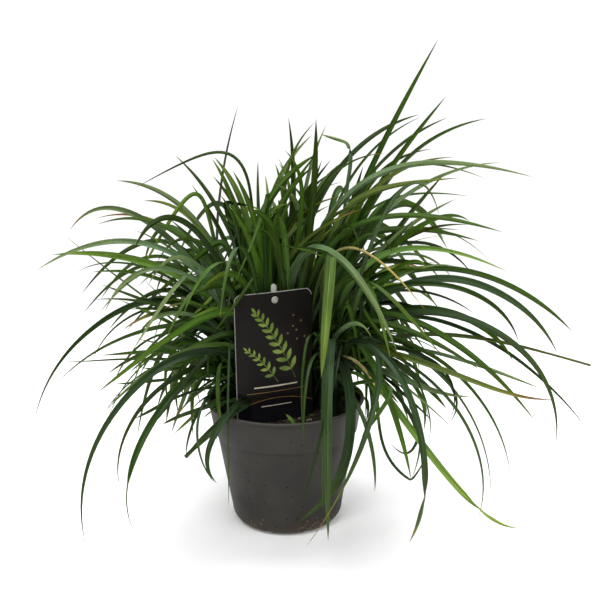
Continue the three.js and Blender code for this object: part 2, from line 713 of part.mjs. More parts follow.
const model = new THREE.Group();
model.add(meshOf("pot", pot, COLOURS.pot, 0.6));
model.add(meshOf("soil", soilSolid(holes), COLOURS.soil, 1));
model.add(meshOf("label_card", card, COLOURS.card, 0.45));
model.add(meshOf("label_stake", stake, COLOURS.stake, 0.5));
model.add(meshOf("dry_tuft", dryTuft.solid(), COLOURS.straw, 0.8));
plant.open.forEach((tuft, index) => {
  const name = `tuft_${String(index + 1).padStart(2, "0")}`;
  model.add(meshOf(name, tuft.solid(), COLOURS.leaf, 0.6));
});

export default model;
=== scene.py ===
"""A carex sedge in its nursery pot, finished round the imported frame.

The frame gives every leaf its place: each blade's line is read back from its tuft's solid and drawn
again as a fine, folded blade. The pot, soil and label are drawn again at the sizes named here.
Lengths are in millimetres until a mesh is made, and the finished meshes are in metres.
"""

from __future__ import annotations

import sys
import logging
import math
from dataclasses import dataclass, field, replace
from enum import Enum, IntEnum
from typing import ClassVar, Iterable, Sequence

import bmesh
import bpy
import numpy as np
from bpy.types import Material, Node, NodeSocket, NodeTree, Object
from mathutils import Matrix, Vector, noise


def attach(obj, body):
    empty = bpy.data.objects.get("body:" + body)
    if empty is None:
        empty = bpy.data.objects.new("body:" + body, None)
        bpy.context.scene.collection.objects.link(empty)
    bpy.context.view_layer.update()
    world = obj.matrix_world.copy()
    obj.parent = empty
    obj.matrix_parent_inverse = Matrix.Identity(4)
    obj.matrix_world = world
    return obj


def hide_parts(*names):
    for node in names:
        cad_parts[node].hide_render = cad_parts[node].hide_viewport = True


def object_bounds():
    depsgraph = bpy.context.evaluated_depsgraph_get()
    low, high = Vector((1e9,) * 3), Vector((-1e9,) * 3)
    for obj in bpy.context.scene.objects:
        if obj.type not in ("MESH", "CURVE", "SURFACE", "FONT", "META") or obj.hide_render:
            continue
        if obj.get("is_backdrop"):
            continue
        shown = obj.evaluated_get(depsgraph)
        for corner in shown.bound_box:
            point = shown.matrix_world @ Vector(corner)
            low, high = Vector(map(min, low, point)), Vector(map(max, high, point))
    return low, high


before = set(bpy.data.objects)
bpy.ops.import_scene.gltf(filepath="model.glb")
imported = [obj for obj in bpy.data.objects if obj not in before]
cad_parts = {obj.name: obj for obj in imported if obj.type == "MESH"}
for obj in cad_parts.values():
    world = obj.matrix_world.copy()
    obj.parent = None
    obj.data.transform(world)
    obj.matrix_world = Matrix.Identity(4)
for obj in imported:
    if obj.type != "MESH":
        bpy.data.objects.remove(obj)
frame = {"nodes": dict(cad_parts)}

LOG = logging.getLogger("sedge")
MM = 0.001
BODY = "root"
GOLDEN_ANGLE = math.pi * (3 - math.sqrt(5))
Colour = tuple[float, float, float, float]
Triple = tuple[float, float, float]
Pair = tuple[float, float]
Tip = tuple[int, int, int]


def linear(hex_colour: str) -> Colour:
    """Turns an sRGB hex colour into linear light.

    Args:
        hex_colour: Six hex digits, with or without a leading #.

    Returns:
        Linear red, green and blue, and an alpha of 1.
    """
    digits = hex_colour.lstrip("#")
    shares = [int(digits[place : place + 2], 16) / 255 for place in (0, 2, 4)]
    lit = [s / 12.92 if s <= 0.04045 else ((s + 0.055) / 1.055) ** 2.4 for s in shares]
    return (lit[0], lit[1], lit[2], 1.0)


def smoothstep(value: np.ndarray, low: float, high: float) -> np.ndarray:
    """Eases each value from 0 at low to 1 at high."""
    share = np.clip((value - low) / (high - low), 0, 1)
    return share * share * (3 - 2 * share)


def unit(vectors: np.ndarray) -> np.ndarray:
    """Scales each row to a length of 1."""
    return vectors / np.maximum(np.linalg.norm(vectors, axis=-1, keepdims=True), 1e-9)


# ---- Nodes and materials ----

EASED = {"interpolation_type": "SMOOTHSTEP"}


def set_inputs(tree: NodeTree, node: Node, inputs: dict | Sequence[object]) -> None:
    """Sets or links a node's inputs.

    Args:
        tree: The tree that holds the node.
        node: The node.
        inputs: A value, another node or one of its outputs for each input, either in the order of
            the inputs or by their names or numbers.
    """
    for socket, value in inputs.items() if isinstance(inputs, dict) else enumerate(inputs):
        source = value.outputs[0] if isinstance(value, Node) else value
        if isinstance(source, NodeSocket):
            tree.links.new(source, node.inputs[socket])
        else:
            node.inputs[socket].default_value = source


def add_node(
    tree: NodeTree, kind: str, inputs: dict | Sequence[object] = (), **settings: object
) -> Node:
    """Adds a node with its settings, and sets or links its inputs.

    Args:
        tree: The tree that takes the node.
        kind: The name of the node's type, after its first word ShaderNode.
        inputs: What its inputs get, as set_inputs takes it.
        **settings: The node's own properties.

    Returns:
        The new node.
    """
    node = tree.nodes.new(f"ShaderNode{kind}")
    for name, value in settings.items():
        setattr(node, name, value)
    set_inputs(tree, node, inputs)
    return node


@dataclass(frozen=True)
class Finish:
    """What every finish shares: a name, one Principled shader, and tones laid over one another."""

    name: str

    def begin(self) -> tuple[Material, NodeTree]:
        """Makes the bare material.

        Returns:
            The material and its tree.
        """
        material = bpy.data.materials.new(self.name)
        material.use_nodes = True
        return material, material.node_tree

    def layered(
        self, tree: NodeTree, colour: object, layers: Sequence[tuple[object, object]]
    ) -> NodeSocket:
        """Lays tones over a colour, one after another.

        Args:
            tree: The material's tree.
            colour: What lies underneath.
            layers: How much of each tone shows, and the tone. How much is a node's output, or five
                values: what is read, the two ends of its range, and how much shows at each end.

        Returns:
            The colour with all its layers.
        """
        for share, tone in layers:
            if isinstance(share, tuple):
                share = add_node(tree, "MapRange", share, **EASED)
            mixed = add_node(tree, "Mix", {0: share, 6: colour, 7: tone}, data_type="RGBA")
            colour = mixed.outputs[2]
        return colour

    def finished(self, material: Material, **inputs: object) -> Material:
        """Sets or links the shader's inputs.

        Args:
            material: The material.
            **inputs: What each input gets, named with underscores for its spaces.

        Returns:
            The finished material.
        """
        shader = material.node_tree.nodes["Principled BSDF"]
        named = {name.replace("_", " "): value for name, value in inputs.items()}
        set_inputs(material.node_tree, shader, named)
        return material


@dataclass(frozen=True)
class SedgeLeaf(Finish):
    """Living sedge leaf: a waxy, finely ribbed blade that grew in one piece.

    The wax gives a soft, broad gloss, the ribs a faint lengthwise grain, and the fold down the middle
    shows as a paler line. The underside is paler and greyer, and an old tip dries from olive to brown.
    """

    roughness: float = 0.42
    specular: float = 0.13
    # The veins and the fold are thin and let light through: this much lighter than the blade.
    vein_lift: float = 1.5
    fold_lift: float = 1.75
    # Painted light: the outer end is drawn lighter and yellower, as in full light.
    painted_tip_tint: Triple = (1.45, 1.2, 0.85)
    under_colour: str = "#4e6a28"
    turning_colour: str = "#6c7026"
    dry_colour: str = "#7c5a33"
    dead_colour: str = "#4e443a"
    # Real ribs stand about 0.4 mm apart, too fine to show here, so each half of the blade has five.
    ribs_per_half: float = 5.0
    rib_depth: float = 0.2
    # Streaks across a half, along the leaf, and the step in the pattern from leaf to leaf.
    streaks: Triple = (2.6, 9.0, 97.0)
    # Painted shade and light: leaf bases are drawn darker, as in the shade inside the crown, and the
    # outer half lighter, as in full light.
    painted_foot_shade: float = 0.3
    painted_tip_light: float = 1.3

    def material(self) -> Material:
        """Builds the material from the values that each blade's vertices carry.

        Returns:
            The finished material.
        """
        material, tree = self.begin()
        tone = add_node(tree, "Attribute", attribute_name="tone").outputs["Color"]
        across, along, seed, under, dry = (
            add_node(tree, "Attribute", attribute_name=name).outputs["Fac"]
            for name in ("across", "along", "seed", "under", "dry")
        )
        aside = add_node(tree, "Math", [across], operation="ABSOLUTE")
        spread = [
            add_node(tree, "Math", pair, operation="MULTIPLY")
            for pair in zip((across, along, seed), self.streaks)
        ]
        place = add_node(tree, "CombineXYZ", spread)
        streaks = add_node(tree, "TexNoise", {"Vector": place, "Scale": 1.0, "Detail": 3.0})
        turns = self.ribs_per_half * 2 * math.pi
        angle = add_node(tree, "Math", [aside, turns], operation="MULTIPLY")
        ribs = add_node(tree, "Math", [angle], operation="SINE")
        vein, fold = (
            add_node(tree, "VectorMath", {0: tone, "Scale": lift}, operation="SCALE")
            for lift in (self.vein_lift, self.fold_lift)
        )
        blade = [
            ((ribs, 0.3, 1.0, 0.0, 1.0), vein),
            ((aside, 0.03, 0.16, 1.0, 0.0), fold),
            ((under, 0.4, 1.0, 0.0, 0.15), linear(self.under_colour)),
        ]
        colour = self.layered(tree, tone, blade)
        # Painted light: the outer half of each leaf is drawn lighter and yellower.
        warm = add_node(tree, "VectorMath", [colour, self.painted_tip_tint], operation="MULTIPLY")
        colour = self.layered(tree, colour, [((along, 0.5, 1.0, 0.0, 1.0), warm)])
        # Painted shade at each leaf's foot and painted light towards its tip, together with the
        # streaks.
        patchy, painted_light_by_length = (
            add_node(tree, "MapRange", ends, **EASED)
            for ends in (
                (streaks, 0.3, 0.7, 0.68, 1.15),
                (along, 0.08, 0.62, self.painted_foot_shade, self.painted_tip_light),
            )
        )
        shade = add_node(tree, "Math", [patchy, painted_light_by_length], operation="MULTIPLY")
        shaded = add_node(tree, "VectorMath", {0: colour, "Scale": shade}, operation="SCALE")
        drying = [
            ((dry, 0.02, 0.35, 0.0, 1.0), linear(self.turning_colour)),
            ((dry, 0.3, 0.7, 0.0, 1.0), linear(self.dry_colour)),
            ((dry, 0.75, 1.0, 0.0, 1.0), linear(self.dead_colour)),
        ]
        wax = (streaks, 0.3, 0.7, self.roughness - 0.06, self.roughness + 0.1)
        relief = {"Height": ribs, "Strength": 0.12, "Distance": self.rib_depth * MM}
        return self.finished(
            material,
            Base_Color=self.layered(tree, shaded, drying),
            Roughness=add_node(tree, "MapRange", wax, **EASED),
            Specular_IOR_Level=self.specular,
            Normal=add_node(tree, "Bump", relief),
        )


@dataclass(frozen=True)
class MouldedPolypropylene(Finish):
    """Recycled polypropylene, injection moulded: satin grey-brown, with soil dust and specks.

    The moulding gives an even satin skin with faint clouding, the lip's top carries a painted
    highlight, and splashes of soil leave dark specks, brown crumbs and a brown film near the base.
    """

    colour: str = "#3b3935"
    cloud_colour: str = "#34322f"
    rim_highlight_colour: str = "#6f6c67"
    soil_colour: str = "#17120e"
    film_colour: str = "#41382b"
    crumb_colour: str = "#6b5a44"
    roughness: float = 0.5
    specular: float = 0.15
    rim: float = 136.0
    cloud_size: float = 45.0
    # The spark-eroded grain is about 0.3 mm, drawn at 1.6 mm so that it shows.
    grain_size: float = 1.6
    grain_depth: float = 0.2
    speck_spacing: float = 5.7
    speck_share: float = 0.18
    crumb_spacing: float = 2.6
    crumb_share: float = 0.42
    smear_place: Triple = (31.7, -67.8, 99.6)
    smear_radius: float = 1.9

    def material(self) -> Material:
        """Builds the material in the object's own coordinates, which are the frame's.

        Returns:
            The finished material.
        """
        material, tree = self.begin()
        place = add_node(tree, "TexCoord").outputs["Object"]
        height = add_node(tree, "SeparateXYZ", [place]).outputs["Z"]
        clouds, grain = (
            add_node(tree, "TexNoise", {"Vector": place, "Scale": 1 / (size * MM), "Detail": detail})
            for size, detail in ((self.cloud_size, 4.0), (self.grain_size, 2.0))
        )
        specks, grit = (
            add_node(tree, "TexVoronoi", {"Vector": place, "Scale": 1 / (spacing * MM)})
            for spacing in (self.speck_spacing, self.crumb_spacing)
        )
        size, chance = (
            add_node(tree, "SeparateColor", [cells.outputs["Color"]]) for cells in (specks, grit)
        )
        # Brown crumbs cling to the foot where the clouding is dense.
        near_foot, film_patches, reach, low_down, banks = (
            add_node(tree, "MapRange", ends, **EASED)
            for ends in (
                (height, 6 * MM, 24 * MM, 1.0, 0.0),
                (clouds, 0.42, 0.62, 0.35, 0.85),
                (size, 0.1, 1.0, 0.0, self.speck_share),
                (height, 8 * MM, 24 * MM, 1.0, 0.0),
                (clouds, 0.4, 0.52, 0.0, 1.0),
            )
        )
        film = add_node(tree, "Math", [near_foot, film_patches], operation="MULTIPLY")
        speck = add_node(tree, "Math", [specks, reach], operation="LESS_THAN")
        bank = add_node(tree, "Math", [low_down, banks], operation="MULTIPLY")
        held_share = add_node(tree, "MapRange", (bank, 0.0, 1.0, 0.0, 0.5), **EASED)
        held = add_node(tree, "Math", [chance, held_share], operation="LESS_THAN")
        inside = add_node(tree, "Math", [grit, self.crumb_share], operation="LESS_THAN")
        crumb = add_node(tree, "Math", [held, inside], operation="MULTIPLY")
        smear_at = [value * MM for value in self.smear_place]
        away = add_node(tree, "VectorMath", [place, smear_at], operation="DISTANCE")
        edge = self.smear_radius * MM
        soil = linear(self.soil_colour)
        layers = [
            ((clouds, 0.35, 0.65, 0.0, 1.0), linear(self.cloud_colour)),
            (film, linear(self.film_colour)),
            # Painted highlight: the lip's top is drawn paler, as where light catches it.
            (
                (height, (self.rim + 0.3) * MM, (self.rim + 0.8) * MM, 0.0, 0.4),
                linear(self.rim_highlight_colour),
            ),
            (speck, soil),
            (crumb, linear(self.crumb_colour)),
            # The lowest two millimetres are drawn darker, in the soil's colour.
            ((height, 0.4 * MM, 2.2 * MM, 0.75, 0.0), soil),
            ((away.outputs["Value"], 0.6 * edge, 1.4 * edge, 0.9, 0.0), soil),
        ]
        satin = (clouds, 0.3, 0.7, self.roughness - 0.05, self.roughness + 0.1)
        relief = {"Height": grain, "Strength": 0.15, "Distance": self.grain_depth * MM}
        return self.finished(
            material,
            Base_Color=self.layered(tree, linear(self.colour), layers),
            Roughness=add_node(tree, "MapRange", satin, **EASED),
            Specular_IOR_Level=self.specular,
            Normal=add_node(tree, "Bump", relief),
        )


@dataclass(frozen=True)
class PottingMix(Finish):
    """Peat and bark potting mix, watered: near black, matt, with green and pale crumbs.

    Each crumb carries its own tone, from damp peat to bark fibre, moss and grit.
    """

    damp_colour: str = "#15100c"
    fibre_colour: str = "#3b2a1b"
    moss_colour: str = "#3c4a1c"
    grit_colour: str = "#8d8370"
    roughness: float = 0.95
    specular: float = 0.25
    # Peat crumbs are about 1 mm across, drawn at 2.5 mm so that they show.
    crumb_size: float = 2.5
    crumb_depth: float = 1.2
    moss_size: float = 9.0

    def material(self) -> Material:
        """Builds the material: each crumb's own tone over a fine crumbly grain.

        Returns:
            The finished material.
        """
        material, tree = self.begin()
        place = add_node(tree, "TexCoord").outputs["Object"]
        tone = add_node(tree, "Attribute", attribute_name="crumb").outputs["Fac"]
        crumbs, patches = (
            add_node(tree, "TexNoise", {"Vector": place, "Scale": 1 / (size * MM), "Detail": detail})
            for size, detail in ((self.crumb_size, 5.0), (self.moss_size, 4.0))
        )
        moss = linear(self.moss_colour)
        layers = [
            ((crumbs, 0.48, 0.68, 0.0, 1.0), linear(self.fibre_colour)),
            ((patches, 0.58, 0.66, 0.0, 0.8), moss),
            ((tone, 0.55, 0.6, 0.0, 1.0), moss),
            ((tone, 0.9, 0.95, 0.0, 1.0), linear(self.grit_colour)),
        ]
        relief = {"Height": crumbs, "Strength": 0.8, "Distance": self.crumb_depth * MM}
        return self.finished(
            material,
            Base_Color=self.layered(tree, linear(self.damp_colour), layers),
            Roughness=self.roughness,
            Specular_IOR_Level=self.specular,
            Normal=add_node(tree, "Bump", relief),
        )


@dataclass(frozen=True)
class PrintedCard(Finish):
    """Polystyrene label card, offset printed and varnished: a near-black field under a soft gloss."""

    colour: str = "#171413"
    warm_colour: str = "#1e1a18"
    roughness: float = 0.36
    specular: float = 0.12
    cloud_size: float = 60.0
    # Handling marks in the varnish, a few millimetres wide.
    mark_size: float = 7.0

    def material(self) -> Material:
        """Builds the material: a dark field that is faintly warmer in soft patches.

        Returns:
            The finished material.
        """
        material, tree = self.begin()
        place = add_node(tree, "TexCoord").outputs["Object"]
        clouds, marks = (
            add_node(tree, "TexNoise", {"Vector": place, "Scale": 1 / (size * MM), "Detail": detail})
            for size, detail in ((self.cloud_size, 1.0), (self.mark_size, 3.0))
        )
        warm = [((clouds, 0.35, 0.65, 0.0, 1.0), linear(self.warm_colour))]
        varnish = (marks, 0.3, 0.7, self.roughness - 0.05, self.roughness + 0.09)
        return self.finished(
            material,
            Base_Color=self.layered(tree, linear(self.colour), warm),
            Roughness=add_node(tree, "MapRange", varnish, **EASED),
            Specular_IOR_Level=self.specular,
        )


@dataclass(frozen=True)
class PrintInk(Finish):
    """One printing ink on the card: a flat tone with the dot grain of offset print."""

    light_colour: str = "#8a9e4a"
    dark_colour: str = "#5c7430"
    roughness: float = 0.36
    specular: float = 0.12
    # Print dots are about 0.15 mm apart, drawn at 0.9 mm so that the grain shows.
    grain: float = 0.9
    wash: float = 12.0

    def material(self) -> Material:
        """Builds the ink's material.

        Returns:
            The finished material.
        """
        material, tree = self.begin()
        place = add_node(tree, "TexCoord").outputs["Object"]
        noises = [
            add_node(tree, "TexNoise", {"Vector": place, "Scale": 1 / (size * MM)})
            for size in (self.grain, self.wash)
        ]
        both = add_node(tree, "Math", noises, operation="ADD")
        dark = [((both, 0.8, 1.2, 0.0, 1.0), linear(self.dark_colour))]
        return self.finished(
            material,
            Base_Color=self.layered(tree, linear(self.light_colour), dark),
            Roughness=self.roughness,
            Specular_IOR_Level=self.specular,
        )


@dataclass(frozen=True)
class ClearedPlastic(Finish):
    """Unpigmented polypropylene, injection moulded: pale, slightly cloudy, with a soft gloss."""

    colour: str = "#b9b7b0"
    cloud_colour: str = "#9d9b95"
    roughness: float = 0.38
    cloud_size: float = 3.0

    def material(self) -> Material:
        """Builds the material: a pale tone with soft clouding.

        Returns:
            The finished material.
        """
        material, tree = self.begin()
        place = add_node(tree, "TexCoord").outputs["Object"]
        noise_inputs = {"Vector": place, "Scale": 1 / (self.cloud_size * MM), "Detail": 2.0}
        clouds = add_node(tree, "TexNoise", noise_inputs)
        cloudy = [((clouds, 0.35, 0.65, 0.0, 1.0), linear(self.cloud_colour))]
        colour = self.layered(tree, linear(self.colour), cloudy)
        return self.finished(material, Base_Color=colour, Roughness=self.roughness)


@dataclass(frozen=True)
class StudioPaper(Finish):
    """White paper on a light table: pale, matt and even, glowing softly so that shadows stay pale.

    It fades out of sight far from the plant.
    """

    colour: str = "#f4f4f4"
    pulp_colour: str = "#ececec"
    whole_to: float = 520.0
    gone_from: float = 1300.0
    pulp_size: float = 25.0
    glow: float = 0.17

    def material(self) -> Material:
        """Builds the material: white paper with a trace of pulp grain.

        Returns:
            The finished material.
        """
        material, tree = self.begin()
        place = add_node(tree, "TexCoord").outputs["Object"]
        pulp = add_node(tree, "TexNoise", {"Vector": place, "Scale": 1 / (self.pulp_size * MM)})
        away = add_node(tree, "VectorMath", [place], operation="LENGTH").outputs["Value"]
        fade = (away, self.whole_to * MM, self.gone_from * MM, 1.0, 0.0)
        grain = [((pulp, 0.3, 0.7, 0.0, 0.1), linear(self.pulp_colour))]
        return self.finished(
            material,
            Base_Color=self.layered(tree, linear(self.colour), grain),
            Roughness=0.9,
            Specular_IOR_Level=0.1,
            Alpha=add_node(tree, "MapRange", fade, **EASED),
            Emission_Color=linear("#ffffff"),
            Emission_Strength=self.glow,
        )


# ---- Meshes ----


class Draft:
    """The points, faces and vertex values of one piece, gathered in millimetres."""

    def __init__(self) -> None:
        """Starts an empty draft."""
        self.points: list[np.ndarray] = []
        self.faces: list[tuple[int, ...]] = []
        self.finish_of_face: list[int] = []
        self.values: dict[str, list[np.ndarray]] = {}
        self.count = 0

    def add(
        self,
        points: np.ndarray,
        faces: Iterable[Sequence[int]],
        finish: int = 0,
        **values: np.ndarray,
    ) -> None:
        """Adds a closed form.

        Args:
            points: Its points, one row each.
            faces: Its faces, as rows of point numbers.
            finish: The number of the finish that its faces take.
            **values: One value a point, or one colour a point, for each name.
        """
        shifted = [tuple(int(corner) + self.count for corner in face) for face in faces]
        self.points.append(np.asarray(points, float))
        self.faces.extend(shifted)
        self.finish_of_face.extend([finish] * len(shifted))
        for name, value in values.items():
            self.values.setdefault(name, []).append(np.asarray(value, float))
        self.count += len(points)

    def build(
        self,
        name: str,
        finishes: Sequence[Material],
        slot: str,
        stands_for: Sequence[str],
        crease: float = 30.0,
    ) -> Object:
        """Makes the piece, in metres, riding on the plant's one body.

        Args:
            name: The piece's name.
            finishes: Its materials, in the order of the draft's finish numbers.
            slot: The record's material slot; not used.
            stands_for: The solids of the frame that it replaces.
            crease: The angle in degrees from which an edge stays sharp.

        Returns:
            The new object.
        """
        mesh = bpy.data.meshes.new(name)
        mesh.from_pydata((np.concatenate(self.points) * MM).tolist(), [], self.faces)
        for value_name, parts in self.values.items():
            whole = np.concatenate(parts)
            coloured = whole.ndim == 2
            kind = "FLOAT_COLOR" if coloured else "FLOAT"
            attribute = mesh.attributes.new(value_name, kind, "POINT")
            attribute.data.foreach_set("color" if coloured else "value", whole.ravel())
        for finish in finishes:
            mesh.materials.append(finish)
        mesh.polygons.foreach_set("material_index", self.finish_of_face)
        mesh.polygons.foreach_set("use_smooth", [True] * len(self.faces))
        mesh.validate()
        mesh.set_sharp_from_angle(angle=math.radians(crease))
        mesh.update()
        piece = bpy.data.objects.new(name, mesh)
        bpy.context.scene.collection.objects.link(piece)
        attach(piece, BODY)
        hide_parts(*stands_for)
        LOG.info("%s: %d points, %d faces", name, self.count, len(self.faces))
        return piece


def tube_faces(rings: int, around: int, closed: bool = False) -> list[tuple[int, ...]]:
    """Joins rings of points into a tube.

    Args:
        rings: How many rings there are.
        around: How many points each ring has.
        closed: True where each end is closed by one flat face.

    Returns:
        The faces, for rings that follow one another.
    """
    faces = [
        (
            ring * around + step,
            ring * around + (step + 1) % around,
            (ring + 1) * around + (step + 1) % around,
            (ring + 1) * around + step,
        )
        for ring in range(rings - 1)
        for step in range(around)
    ]
    if closed:
        faces.append(tuple(reversed(range(around))))
        faces.append(tuple((rings - 1) * around + step for step in range(around)))
    return faces


def arc(centre: Pair, radius: float, start: float, stop: float, steps: int) -> list[Pair]:
    """Gives the points of a round corner.

    Args:
        centre: The middle of the arc.
        radius: Its radius.
        start: The angle of its first point, in degrees.
        stop: The angle of its last point, in degrees.
        steps: How many stretches it has.

    Returns:
        The points, from start to stop.
    """
    angles = [math.radians(start + (stop - start) * step / steps) for step in range(steps + 1)]
    return [
        (centre[0] + radius * math.cos(angle), centre[1] + radius * math.sin(angle))
        for angle in angles
    ]


# ---- Pot and soil ----


@dataclass
class Pot:
    """A tapered round nursery pot with a collar, a thin lip, feet and drainage slots."""

    height: float = 137.0
    rim_radius: float = 85.0
    rim_depth: float = 2.6
    collar_top: float = 83.0
    collar_foot: float = 77.5
    collar_foot_height: float = 102.0
    collar_step: float = 0.9
    body_top: float = 75.0
    body_foot: float = 60.5
    base_radius: float = 47.0
    corner_height: float = 15.0
    wall: float = 1.8
    edge: float = 0.7
    sides: int = 180
    slots: int = 8
    slot_size: Triple = (13.0, 9.0, 8.0)
    slot_middle: float = 52.0
    feet: int = 3
    first_foot: float = -53.0
    foot_half: float = 30.0
    foot_height: float = 1.8
    # Where a leaf begins to hide the pot, and the margin in which it may still do so.
    front_share: float = 0.85
    clearance: float = 3.0

    def corner(self, inset: float, steps: int = 12) -> list[Pair]:
        """Gives the rounded corner between the base and the side.

        Args:
            inset: How far inside the outer skin it runs.
            steps: How many stretches it has.

        Returns:
            Radius and height of each point, from the base up.
        """
        across = self.body_foot - self.base_radius - inset
        points = []
        for step in range(steps + 1):
            angle = step / steps * math.pi / 2
            radius = self.base_radius + across * math.sin(angle)
            height = self.corner_height * (1 - math.cos(angle)) + inset * math.cos(angle)
            points.append((radius, height))
        return points

    def profile(self) -> list[Pair]:
        """Gives the pot's section.

        Returns:
            Radius and height of each point, up the outside, over the rim and down the inside.
        """
        lip_foot = self.height - self.rim_depth
        rim = self.edge
        # The steps of a few tenths of a millimetre round off the collar's and the lip's edges.
        outside = [
            (self.base_radius * 0.5, 0.0),
            *self.corner(0),
            (self.body_top - 0.1, self.collar_foot_height - self.collar_step - 0.4),
            (self.body_top + 0.3, self.collar_foot_height - self.collar_step),
            (self.collar_foot - 0.4, self.collar_foot_height - 0.1),
            (self.collar_foot, self.collar_foot_height + 0.5),
            (self.collar_top - 0.1, lip_foot - 0.5),
            (self.collar_top + 0.3, lip_foot - 0.1),
        ]
        lip = [
            *arc((self.rim_radius - rim, lip_foot + rim), rim, -90, 0, 4),
            *arc((self.rim_radius - rim, self.height - rim), rim, 0, 90, 5),
        ]
        inner = self.collar_top - self.wall
        inside = [
            *arc((inner + rim, self.height - rim), rim, 90, 180, 4),
            (self.collar_foot - self.wall, self.collar_foot_height + self.wall),
            (self.body_top - self.wall, self.collar_foot_height - self.collar_step),
            *reversed(self.corner(self.wall)),
            (self.base_radius * 0.5, self.wall),
        ]
        return [*outside, *lip, *inside]

    def foot_lift(self, angles: np.ndarray) -> np.ndarray:
        """Says where the base's edge is raised between the feet.

        Args:
            angles: Angles round the pot, in radians.

        Returns:
            The lift at each angle, in millimetres.
        """
        pitch = 360 / self.feet
        from_foot = (np.degrees(angles) - self.first_foot + pitch / 2) % pitch - pitch / 2
        return self.foot_height * smoothstep(np.abs(from_foot), self.foot_half, self.foot_half + 1.5)

    def hides(self, points: np.ndarray, eye: np.ndarray) -> np.ndarray:
        """Says which points stand between a viewer in front and the pot's side.

        Args:
            points: Points in the plant's frame.
            eye: The viewer's place.

        Returns:
            True for each point that would hide the pot's front.
        """
        front = -self.front_share * self.rim_radius
        reach = (front - eye[1]) / np.maximum(points[:, 1] - eye[1], 1e-6)
        seen = eye + (points - eye) * reach[:, None]
        beside = np.abs(seen[:, 0]) < self.rim_radius - self.clearance
        return beside & (seen[:, 2] < self.height) & (points[:, 1] < front)

    def skin(self) -> tuple[np.ndarray, list[tuple[int, ...]]]:
        """Turns the section round into a closed shell.

        Returns:
            The points and the faces.
        """
        section = self.profile()
        angles = np.arange(self.sides) / self.sides * 2 * math.pi
        lift = self.foot_lift(angles)
        rows = []
        for radius, height in section:
            raised = height * np.ones(self.sides)
            if radius > self.base_radius - 1 and height < self.foot_height:
                raised = np.maximum(height, lift)
            rows.append(np.stack([radius * np.cos(angles), radius * np.sin(angles), raised], 1))
        foot = len(rows) * self.sides
        points = np.concatenate([*rows, [[0, 0, 0], [0, 0, self.wall]]])
        faces = tube_faces(len(rows), self.sides)
        last = (len(rows) - 1) * self.sides
        for step in range(self.sides):
            after = (step + 1) % self.sides
            faces.append((foot, after, step))
            faces.append((foot + 1, last + step, last + after))
        return points, faces

    def build(self, finish: Material) -> Object:
        """Makes the pot and cuts its drainage slots.

        Args:
            finish: The pot's material.

        Returns:
            The pot.
        """
        draft = Draft()
        draft.add(*self.skin())
        pot = draft.build("pot_shell", [finish], "pot_plastic", ["pot"])
        cutter_mesh = bpy.data.meshes.new("slots")
        form = bmesh.new()
        for slot in range(self.slots):
            turn = Matrix.Rotation((slot + 0.5) * 2 * math.pi / self.slots, 4, "Z")
            shift = Matrix.Translation((self.slot_middle * MM, 0, 0))
            size = Matrix.Diagonal((*(value * MM for value in self.slot_size), 1))
            bmesh.ops.create_cube(form, size=1.0, matrix=turn @ shift @ size)
        form.to_mesh(cutter_mesh)
        form.free()
        cutter = bpy.data.objects.new("slots", cutter_mesh)
        bpy.context.scene.collection.objects.link(cutter)
        cut = pot.modifiers.new("slots", "BOOLEAN")
        cut.operation = "DIFFERENCE"
        cut.solver = "EXACT"
        cut.object = cutter
        graph = bpy.context.evaluated_depsgraph_get()
        carved = bpy.data.meshes.new_from_object(pot.evaluated_get(graph))
        pot.modifiers.clear()
        carved.name = "pot_shell"
        pot.data = carved
        bpy.data.objects.remove(cutter)
        bpy.data.meshes.remove(cutter_mesh)
        return pot


